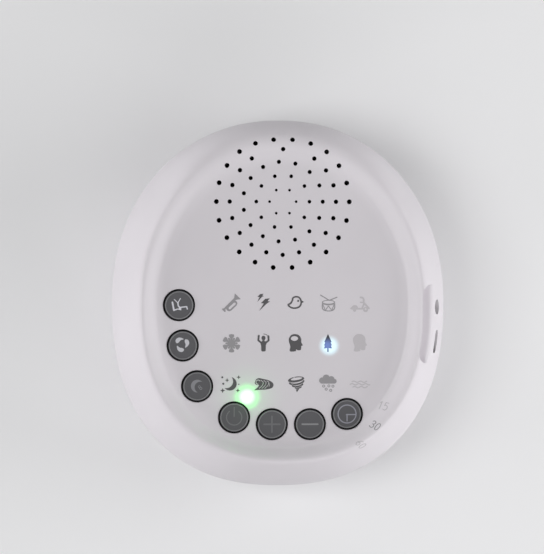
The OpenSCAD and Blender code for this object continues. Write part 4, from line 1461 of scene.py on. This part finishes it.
inkDark = mouldedPlastic("inkDark", (0.105, 0.102, 0.107), roughness=0.55)
inkMid = mouldedPlastic("inkMid", (0.33, 0.32, 0.335), roughness=0.55)
inkLight = mouldedPlastic("inkLight", (0.57, 0.545, 0.57), roughness=0.55)
inkLit = glowing(mouldedPlastic("inkLit", (0.07, 0.07, 0.08), roughness=0.55), [
    ((16.0, -14.9), 0.5, 3.2, (0.12, 0.20, 0.52)),
])
icons = [
    # the rows from the back of the panel, and in each the pictures from the left
    [("Trumpet", trumpet, inkMid), ("Bolts", bolts, inkDark), ("Chick", chick, inkDark),
     ("Drum", drum, inkMid), ("Scooter", scooter, inkLight)],
    [("Snowflake", snowflake, inkMid), ("Figure", figure, inkDark), ("OpenHead", openHead, inkDark),
     ("Pine", pineTree, inkLit), ("Head", lambda: add(headOutline()), inkLight)],
    [("Night", crescentNight, inkDark), ("Wave", wave, inkDark), ("Tornado", tornado, inkDark),
     ("Cloud", rainCloud, inkMid), ("Ripples", ripples, inkLight)],
]
for down, row in enumerate(icons):
    for along, (name, picture, ink) in enumerate(row):
        x = iconGrid["middle"][0] + (along - 2) * iconGrid["across"]
        y = iconGrid["middle"][1] + (1 - down) * iconGrid["along"]
        printed("icon" + name, picture(), floorPlace(x, y), ink, "housing")
print("icons made:", sum(len(row) for row in icons))


# symbols on the keys

def loungeSign():
    lines = [
        ([(-2.37, 1.05), (-1.82, -1.8)], 0.6), ([(-1.5, -1.7), (-0.5, -1.35)], 0.4),
        ([(-0.5, -1.35), (0.6, -1.6)], 0.4), ([(-0.45, 0.9), (-0.3, -0.25), (0.25, -0.8)], 0.5),
        ([(0.25, -0.8), (2.65, -0.5)], 0.42), ([(2.65, -0.5), (2.9, -1.35)], 0.45),
        ([(-1.7, 2.0), (-0.5, 0.9)], 0.3), ([(0.45, 2.35), (-0.35, 0.95)], 0.32),
    ]
    return add(*[ribbon(points, width) for points, width in lines], disc(0.35, -1.1, 0.45))


def petalSign():
    petal = curve([
        (-2.1, 0.6), (-2.5, 1.4), (-2.1, 2.2), (-1.2, 2.6), (-0.2, 2.4), (0.35, 2.0), (-0.7, 1.6),
        (-1.35, 0.85),
    ])
    middles = [(-0.1, 0.25), (-0.75, 0.6), (-0.1, 0.7)]
    return add(*[shifted(turned(petal, -120 * i), *middle) for i, middle in enumerate(middles)])


def crescentSign():
    made = add(disc(0, 0.1, 2.25, steps=48)) + cut(disc(1.05, -0.35, 2.0, steps=48))
    return made + ring(0.75, -0.15, 0.36, 0.2) + ring(1.25, -0.75, 0.4, 0.22)


def powerSign():
    return add(ribbon(arc(0, 0, 2.7, 128, 412, steps=40), 0.38), ribbon([(0, 3.55), (0, 0.3)], 0.38))


def plusSign():
    return add(ribbon([(-2.8, 0), (2.8, 0)], 0.6), ribbon([(0, -2.8), (0, 2.8)], 0.6))


def minusSign():
    return add(ribbon([(-2.75, 0), (2.75, 0)], 0.6))


def clockSign():
    hands = add(ribbon([(-0.2, -0.2), (3.1, -0.2)], 0.4), ribbon([(0, -0.2), (0, -2.5)], 0.38))
    return ring(0, 0, 3.2, 0.4) + hands


signs = {
    # picture and ink of each key's symbol
    "lounge": (loungeSign, (0.72, 0.72, 0.78)),
    "petals": (petalSign, (0.62, 0.62, 0.66)),
    "crescent": (crescentSign, (0.27, 0.27, 0.29)),
    "power": (powerSign, (0.19, 0.19, 0.20)),
    "plus": (plusSign, (0.17, 0.17, 0.18)),
    "minus": (minusSign, (0.27, 0.27, 0.28)),
    "timer": (clockSign, (0.33, 0.33, 0.38)),
}


def keyPlace(name):
    keyX, keyY = keySpots[name]

    def place(x, y, height):
        return onFloor(keyX + x, keyY + y, keyFaces[name] + height).translation
    return place


for name, (picture, colour) in signs.items():
    ink = mouldedPlastic("sign" + name.capitalize(), colour, roughness=0.5)
    printed("sign" + name.capitalize(), picture(), keyPlace(name), ink, name + "_key", 0.03, 0.1)
print("key symbols made:", len(signs))


# minutes of the timer on the inner wall

digitForm = {"height": 3.2, "slant": 0.22, "pitch": 2.0, "stroke": 0.3, "share": 0.85}


def digit(figureName):
    # each digit stands in a space 1.7 mm wide
    lines = {
        "0": [curve([
            (0.85, 3.2), (0.3, 2.6), (0.2, 1.6), (0.3, 0.6), (0.85, 0), (1.4, 0.6), (1.5, 1.6), (1.4, 2.6),
        ])],
        "1": [[(0.4, 2.6), (0.95, 3.15)], [(0.95, 3.15), (0.95, 0)]],
        "3": [
            curve([(0.3, 2.75), (0.85, 3.2), (1.4, 2.7), (1.25, 1.95), (0.75, 1.7)], False),
            curve([(0.75, 1.7), (1.35, 1.45), (1.5, 0.75), (1.0, 0.05), (0.2, 0.35)], False),
        ],
        "5": [
            [(1.5, 3.15), (0.5, 3.15)], [(0.5, 3.15), (0.35, 1.8)],
            curve([(0.35, 1.8), (0.95, 2.05), (1.5, 1.5), (1.45, 0.6), (0.9, 0), (0.2, 0.25)], False),
        ],
        "6": [curve([
            (1.35, 3.0), (0.65, 2.5), (0.25, 1.5), (0.25, 0.7), (0.8, 0), (1.4, 0.4), (1.45, 1.2), (0.9, 1.7),
            (0.35, 1.2),
        ], False)],
    }
    width = digitForm["stroke"]
    if figureName == "0":
        return loop(lines["0"][0], width)
    return [ribbon(line, width) for line in lines[figureName]]


def number(digits):
    made = []
    half, share = digitForm["height"] / 2, digitForm["share"]
    for i, figureName in enumerate(digits):
        for shape in digit(figureName):
            left = (i - 1) * digitForm["pitch"]
            raised = [(p[0] + left, p[1] - half) for p in shape]
            made.append([((x + y * digitForm["slant"]) * share, y * share) for x, y in raised])
    return add(*made)


minutes = [
    # digits, place on the floor, turn and ink
    ("15", 35.8, -36.2, -12, inkLight),
    ("30", 32.7, -43.0, -28, inkMid),
    ("60", 27.6, -49.6, -48, inkLight),
]
for digits, x, y, degrees, ink in minutes:
    printed("minutes" + digits, number(digits), floorPlace(x, y, degrees), ink, "housing", grid=0.4)
print("numbers made:", len(minutes))


# screws: one finished screw of each kind, set on its places by a node tree

screwKinds = {
    # thread diameter, head height and drive width, and the name of the finished piece
    "case_screws": (3.0, 2.2, 3.2, "caseScrews"),
    "board_screws": (1.8, 1.3, 2.2, "boardScrews"),
    "speaker_screws": (1.8, 1.4, 2.2, "speakerScrews"),
    "port_screws": (1.8, 1.3, 2.2, "portScrews"),
    "holder_screws": (1.8, 1.3, 2.2, "holderScrews"),
}
tiltedScrews = ("board_screws", "speaker_screws")
screwsFromAbove = ("holder_screws",)
screwTurns = {"Geometry": None, "Turn": 37.0, "Seed": 5}


def looseParts(node):
    # the corners of each separate solid of a CAD node
    mesh = nodes[node].data
    leader = list(range(len(mesh.vertices)))

    def top(i):
        while leader[i] != i:
            leader[i] = leader[leader[i]]
            i = leader[i]
        return i
    same = {}
    for vertex in mesh.vertices:
        key = tuple(round(c, 7) for c in vertex.co)
        leader[top(vertex.index)] = top(same.setdefault(key, vertex.index))
    for edge in mesh.edges:
        leader[top(edge.vertices[0])] = top(edge.vertices[1])
    groups = {}
    for vertex in mesh.vertices:
        groups.setdefault(top(vertex.index), []).append(vertex.co)
    return list(groups.values())


def driveArm(degrees, wide, thin, deep):
    # one bar of the cross, narrower at its bottom
    turn = Matrix.Rotation(math.radians(degrees), 4, "Z")
    corners = [
        (x * share, y, z) for z, share in ((-0.5, 1.0), (deep, 0.55)) for x, y in
        ((-wide, -thin), (wide, -thin), (wide, thin), (-wide, thin))
    ]
    loops = [(0, 3, 2, 1), (4, 5, 6, 7), (0, 1, 5, 4), (1, 2, 6, 5), (2, 3, 7, 6), (3, 0, 4, 7)]
    return [turn @ (Vector(corner) * mm) for corner in corners], loops


def screwShape(thread, head, drive, headRadius, length):
    # stands on its head's outer face with its tip up, in millimetres
    root, crest, pitch = thread / 2 * 0.78, thread / 2, thread * 0.36
    profile = [(0, 0), (headRadius * 0.62, 0)]
    for turn in (math.radians(degrees) for degrees in (20, 40, 60, 75, 90)):
        profile.append((headRadius * (0.62 + 0.38 * math.sin(turn)), head * 0.72 * (1 - math.cos(turn))))
    profile += [(headRadius, head), (root, head)]
    for i in range(int((length - head - pitch) / pitch)):
        low = head + pitch * (i + 0.4)
        profile += [(root, low), (crest, low + pitch * 0.45), (root, low + pitch * 0.9)]
    profile += [(root * 0.9, length - 0.25), (root * 0.55, length), (0, length)]
    screw = joined("screw", [turnedProfile(profile, steps=32)])
    arms = [driveArm(degrees, drive / 2, drive * 0.11, head * 0.55) for degrees in (0, 90)]
    screw = combined(screw, joined("drive", arms), "DIFFERENCE", crossing=True)
    return smoothShaded(screw, 30)


def makeScrews(node, frameTurn, flipped):
    # puts the screw on every corner of a mesh that has one corner for each place
    thread, head, drive, name = screwKinds[node]
    spots, radius, length = [], 0, 0
    for part in looseParts(node):
        local = [frameTurn.inverted() @ corner for corner in part]
        low, high = (Vector([pick(c[k] for c in local) for k in range(3)]) for pick in (min, max))
        radius, length = (high.x - low.x) / 2 / mm, (high.z - low.z) / mm
        middle = (low + high) / 2
        spots.append(frameTurn @ Vector((middle.x, middle.y, high.z if flipped else low.z)))
    screw = screwShape(thread, head, drive, radius, length)
    stand = frameTurn @ Matrix.Rotation(math.pi, 4, "X") if flipped else frameTurn
    tree, given = shapeTree("screws on their places", screwTurns)
    # the fourth input is the most that a plain number may be, and the second output is that number
    most = given["Turn"] * math.radians(1)
    spin = addNode(tree, "FunctionNodeRandomValue", {"Seed": given["Seed"], 3: most})
    aim = addNode(tree, "FunctionNodeAxisAngleToRotation", {"Angle": spin.outputs[1]})
    lean = addNode(tree, "FunctionNodeRotateRotation", {
        0: stand.to_3x3().to_euler(), 1: aim.outputs[0],
    }, rotation_space="LOCAL")
    put = addNode(tree, "GeometryNodeInstanceOnPoints", {
        "Points": given["Geometry"], "Instance": meshOf(tree, screw), "Rotation": lean.outputs[0],
    })
    result = grown(name, meshFrom(name, spots, []), tree, screwTurns, put, finishes["screw_steel"])
    bpy.data.objects.remove(screw)
    inPlaceOf(node, result)


# finishes of the parts inside, by the record's slots

def boardMask(name, colour):
    # green solder mask with faint straight tracks under it
    material = mouldedPlastic(name, colour, roughness=0.3, grainSize=1800, strength=0.1)
    tree, shader, mask = insideOf(material)
    tracks = addNode(tree, "ShaderNodeTexBrick", {
        "Vector": objectPlace(tree), "Scale": 90, "Mortar Size": 0.035, "Color1": mask,
        "Mortar": (*tinted(colour, 2.4), 1), "Color2": (*tinted(colour, 1.12), 1),
    })
    feed(tree, tracks.outputs["Color"], shader.inputs["Base Color"])
    return material


def ringed(name, colour, roughness, scale, centre, metallic=0.0):
    # fine rings or windings round an upright axis
    material = mouldedPlastic(name, colour, roughness=roughness)
    tree, shader, _ = insideOf(material)
    feed(tree, metallic, shader.inputs["Metallic"])
    rings = addNode(tree, "ShaderNodeTexWave", {
        "Vector": vectorMath(tree, "SUBTRACT", objectPlace(tree), centre), "Scale": scale, "Distortion": 1.2,
    }, wave_type="RINGS", rings_direction="Z")
    grain(tree, shader, rings.outputs["Fac"], 0.25, 0.05 * mm)
    return material


def twoWires(name, node, axis):
    # one wire red and its neighbour black, on either side of the lead's middle
    material = mouldedPlastic(name, (0.42, 0.015, 0.015), roughness=0.45)
    tree, shader, red = insideOf(material)
    middle = middleOf(node)["XYZ".index(axis)]
    side = alongAxis(tree, axis).math("GREATER_THAN", middle)
    feed(tree, blended(tree, side, red, (0.012, 0.012, 0.013)), shader.inputs["Base Color"])
    return material


speakerMiddle = middleOf("speaker_magnet")
plastics = {
    # slot: name, colour, roughness, and size and strength of the grain
    "foot_rubber": ("footRubber", (0.035, 0.035, 0.038), 0.85, 1500, 0.3),
    "baffle_white": ("baffleWhite", (0.82, 0.82, 0.79), 0.6),
    "light_body": ("lightBody", (0.85, 0.82, 0.55), 0.25),
    "chip_black": ("chipBlack", (0.02, 0.02, 0.022), 0.6, 2200, 0.25),
    "connector_cream": ("connectorCream", (0.76, 0.69, 0.50), 0.45),
    "terminal_brown": ("terminalBrown", (0.20, 0.09, 0.035), 0.5, 2600, 0.15),
    "frame_black": ("frameBlack", (0.02, 0.02, 0.022), 0.35, 900, 0.15),
    "surround_rubber": ("surroundRubber", (0.02, 0.02, 0.023), 0.7, 2600, 0.15),
    "gasket_foam": ("gasketFoam", (0.045, 0.045, 0.048), 0.95, 1100, 0.6),
    "socket_black": ("socketBlack", (0.012, 0.012, 0.013), 0.5),
    "cell_wrap": ("cellWrap", (0.02, 0.13, 0.36), 0.28, 500, 0.12),
    "holder_black": ("holderBlack", (0.022, 0.022, 0.025), 0.5, 2600, 0.12),
}
finishes = {slotName: mouldedPlastic(*values) for slotName, values in plastics.items()}
finishes |= {
    "screw_steel": plainMetal("screwSteel", (0.62, 0.62, 0.63), 0.32),
    "switch_steel": plainMetal("tinnedSteel", (0.68, 0.68, 0.67), 0.38),
    "magnet_steel": plainMetal("magnetSteel", (0.42, 0.42, 0.44), 0.36),
    "board_green": boardMask("boardGreen", (0.012, 0.11, 0.035)),
    "coil_copper": ringed("coilCopper", (0.62, 0.27, 0.10), 0.3, 260, speakerMiddle, 1.0),
    "cone_paper": ringed("conePaper", (0.028, 0.028, 0.031), 0.9, 90, speakerMiddle),
    "power_lens": glowing(mouldedPlastic("powerLens", (0.7, 0.95, 0.72), roughness=0.2), [
        (lightHole["spot"], 2.5, 6.0, (2.4, 3.2, 2.4)),
    ]),
}
wires = {
    "speaker_lead": twoWires("speakerWires", "speaker_lead", "X"),
    "cell_lead": twoWires("cellWires", "cell_lead", "Y"),
}
for node, thing in nodes.items():
    slotName = thing.data.materials[0].name.split(".")[0]
    finish = wires.get(node) or finishes.get(slotName)
    if finish:
        thing.material_slots[0].material = finish
for node in screwKinds:
    makeScrews(node, floorFrame if node in tiltedScrews else Matrix(), node in screwsFromAbove)
print("inside parts finished:", len(finishes) + len(wires))


# studio: pale floor, soft lights and the camera

studio = {
    "cameraDistance": 1.0,
    "cameraLean": 4.0,
    "cameraFilm": 36,
    "lookAt": (-2.2, 9.4, 21.0),
    "fieldHeight": 200.2,
    "floorHalf": 3,
    "floorColour": (0.60, 0.60, 0.61),
    "seenFloorColour": (0.93, 0.93, 0.94),
    "farColour": (0.74, 0.74, 0.75),
    "farStart": 0.22,
    "farEnd": 0.75,
    "lampAim": (0, 0, 0.03),
    "lowLamp": 0.25,
    "glowHeight": 2.4,
    "worldLight": 0.15,
}
lamps = [
    # name, place, width, height and power
    ("rightLow", (1.0, 0.05, 0.25), 0.7, 0.3, 4.0),
    ("leftLow", (-1.0, 0.0, 0.25), 0.7, 0.3, 4.7),
    ("leftHigh", (-0.6, 0.0, 1.0), 0.5, 0.5, 3.6),
    ("frontHigh", (0.0, -0.9, 0.6), 0.7, 0.5, 1.7),
    ("backHigh", (0.0, 0.9, 0.6), 0.7, 0.5, 0.9),
    ("rightFront", (0.7, -0.7, 0.4), 0.6, 0.4, 2.1),
    ("rightNear", (0.28, 0.0, 0.22), 0.2, 0.1, 0.18),
]


def makeFloor():
    half = studio["floorHalf"]
    corners = [(-half, -half, 0), (half, -half, 0), (half, half, 0), (-half, half, 0)]
    material, tree, shader = shaderOf("studioFloor")
    # the camera and reflections see a paler floor than the one that lights the object from below
    path = tree.nodes.new("ShaderNodeLightPath")
    seen = Calc(tree, path.outputs["Is Camera Ray"])
    for kind in ("Is Glossy Ray", "Is Transmission Ray"):
        seen = seen.math("MAXIMUM", Calc(tree, path.outputs[kind]))
    tone = blended(tree, seen, studio["floorColour"], studio["seenFloorColour"])
    feed(tree, tone, shader.inputs["Base Color"])
    feed(tree, 0.9, shader.inputs["Roughness"])
    # far from the object the floor turns into an even pale backdrop
    away = vectorMath(tree, "LENGTH", objectPlace(tree))
    fade = spread(tree, away, 0.0, 1.0, studio["farStart"], studio["farEnd"], "SMOOTHSTEP")
    backdrop = addNode(tree, "ShaderNodeEmission", {"Color": (*studio["farColour"], 1)})
    far = addNode(tree, "ShaderNodeMixShader", {
        0: Calc(tree, fade) * seen, 1: shader.outputs[0], 2: backdrop.outputs[0],
    })
    tree.links.new(far.outputs[0], tree.nodes["Material Output"].inputs["Surface"])
    floor = joined("studioFloor", [(corners, [(0, 1, 2, 3)])], material)


def makeLamp(name, place, sizeX, sizeY, power):
    light = bpy.data.lights.new(name, "AREA")
    light.shape = "RECTANGLE"
    light.size = sizeX
    light.size_y = sizeY
    light.energy = power
    lamp = newObject(name, light)
    lamp.location = place
    lamp.rotation_euler = (Vector(studio["lampAim"]) - Vector(place)).to_track_quat("-Z", "Y").to_euler()
    lamp.visible_camera = False
    # a low lamp has no mirror image, which would burn out the floor in a view across it
    lamp.visible_glossy = place[2] > studio["lowLamp"]


def makePowerGlow():
    # the power light shines on what is round it
    light = bpy.data.lights.new("powerGlow", "POINT")
    light.color = (0.08, 1.0, 0.12)
    light.energy = 0.00045
    light.shadow_soft_size = 1.0 * mm
    spark = newObject("powerGlow", light)
    spark.location = onFloor(*lightHole["spot"], studio["glowHeight"]).translation


def makeWorld():
    world = bpy.context.scene.world or bpy.data.worlds.new("world")
    bpy.context.scene.world = world
    world.use_nodes = True
    background = world.node_tree.nodes["Background"]
    background.inputs["Color"].default_value = (1, 1, 1, 1)
    background.inputs["Strength"].default_value = studio["worldLight"]


def makeCamera():
    lens = bpy.data.cameras.new("camera")
    aim = Vector(studio["lookAt"]) * mm
    lean, distance = math.radians(studio["cameraLean"]), studio["cameraDistance"]
    lens.sensor_width = studio["cameraFilm"]
    lens.lens = studio["cameraFilm"] / 2 / (studio["fieldHeight"] * mm / 2 / distance)
    lens.clip_start = 0.01
    camera = newObject("camera", lens)
    camera.location = aim + Vector((-math.sin(lean), 0, math.cos(lean))) * distance
    camera.rotation_euler = (0, -lean, 0)
    bpy.context.scene.camera = camera


makeFloor()
for values in lamps:
    makeLamp(*values)
makePowerGlow()
makeWorld()
makeCamera()
bpy.context.scene.view_settings.view_transform = "Standard"
print("studio made")
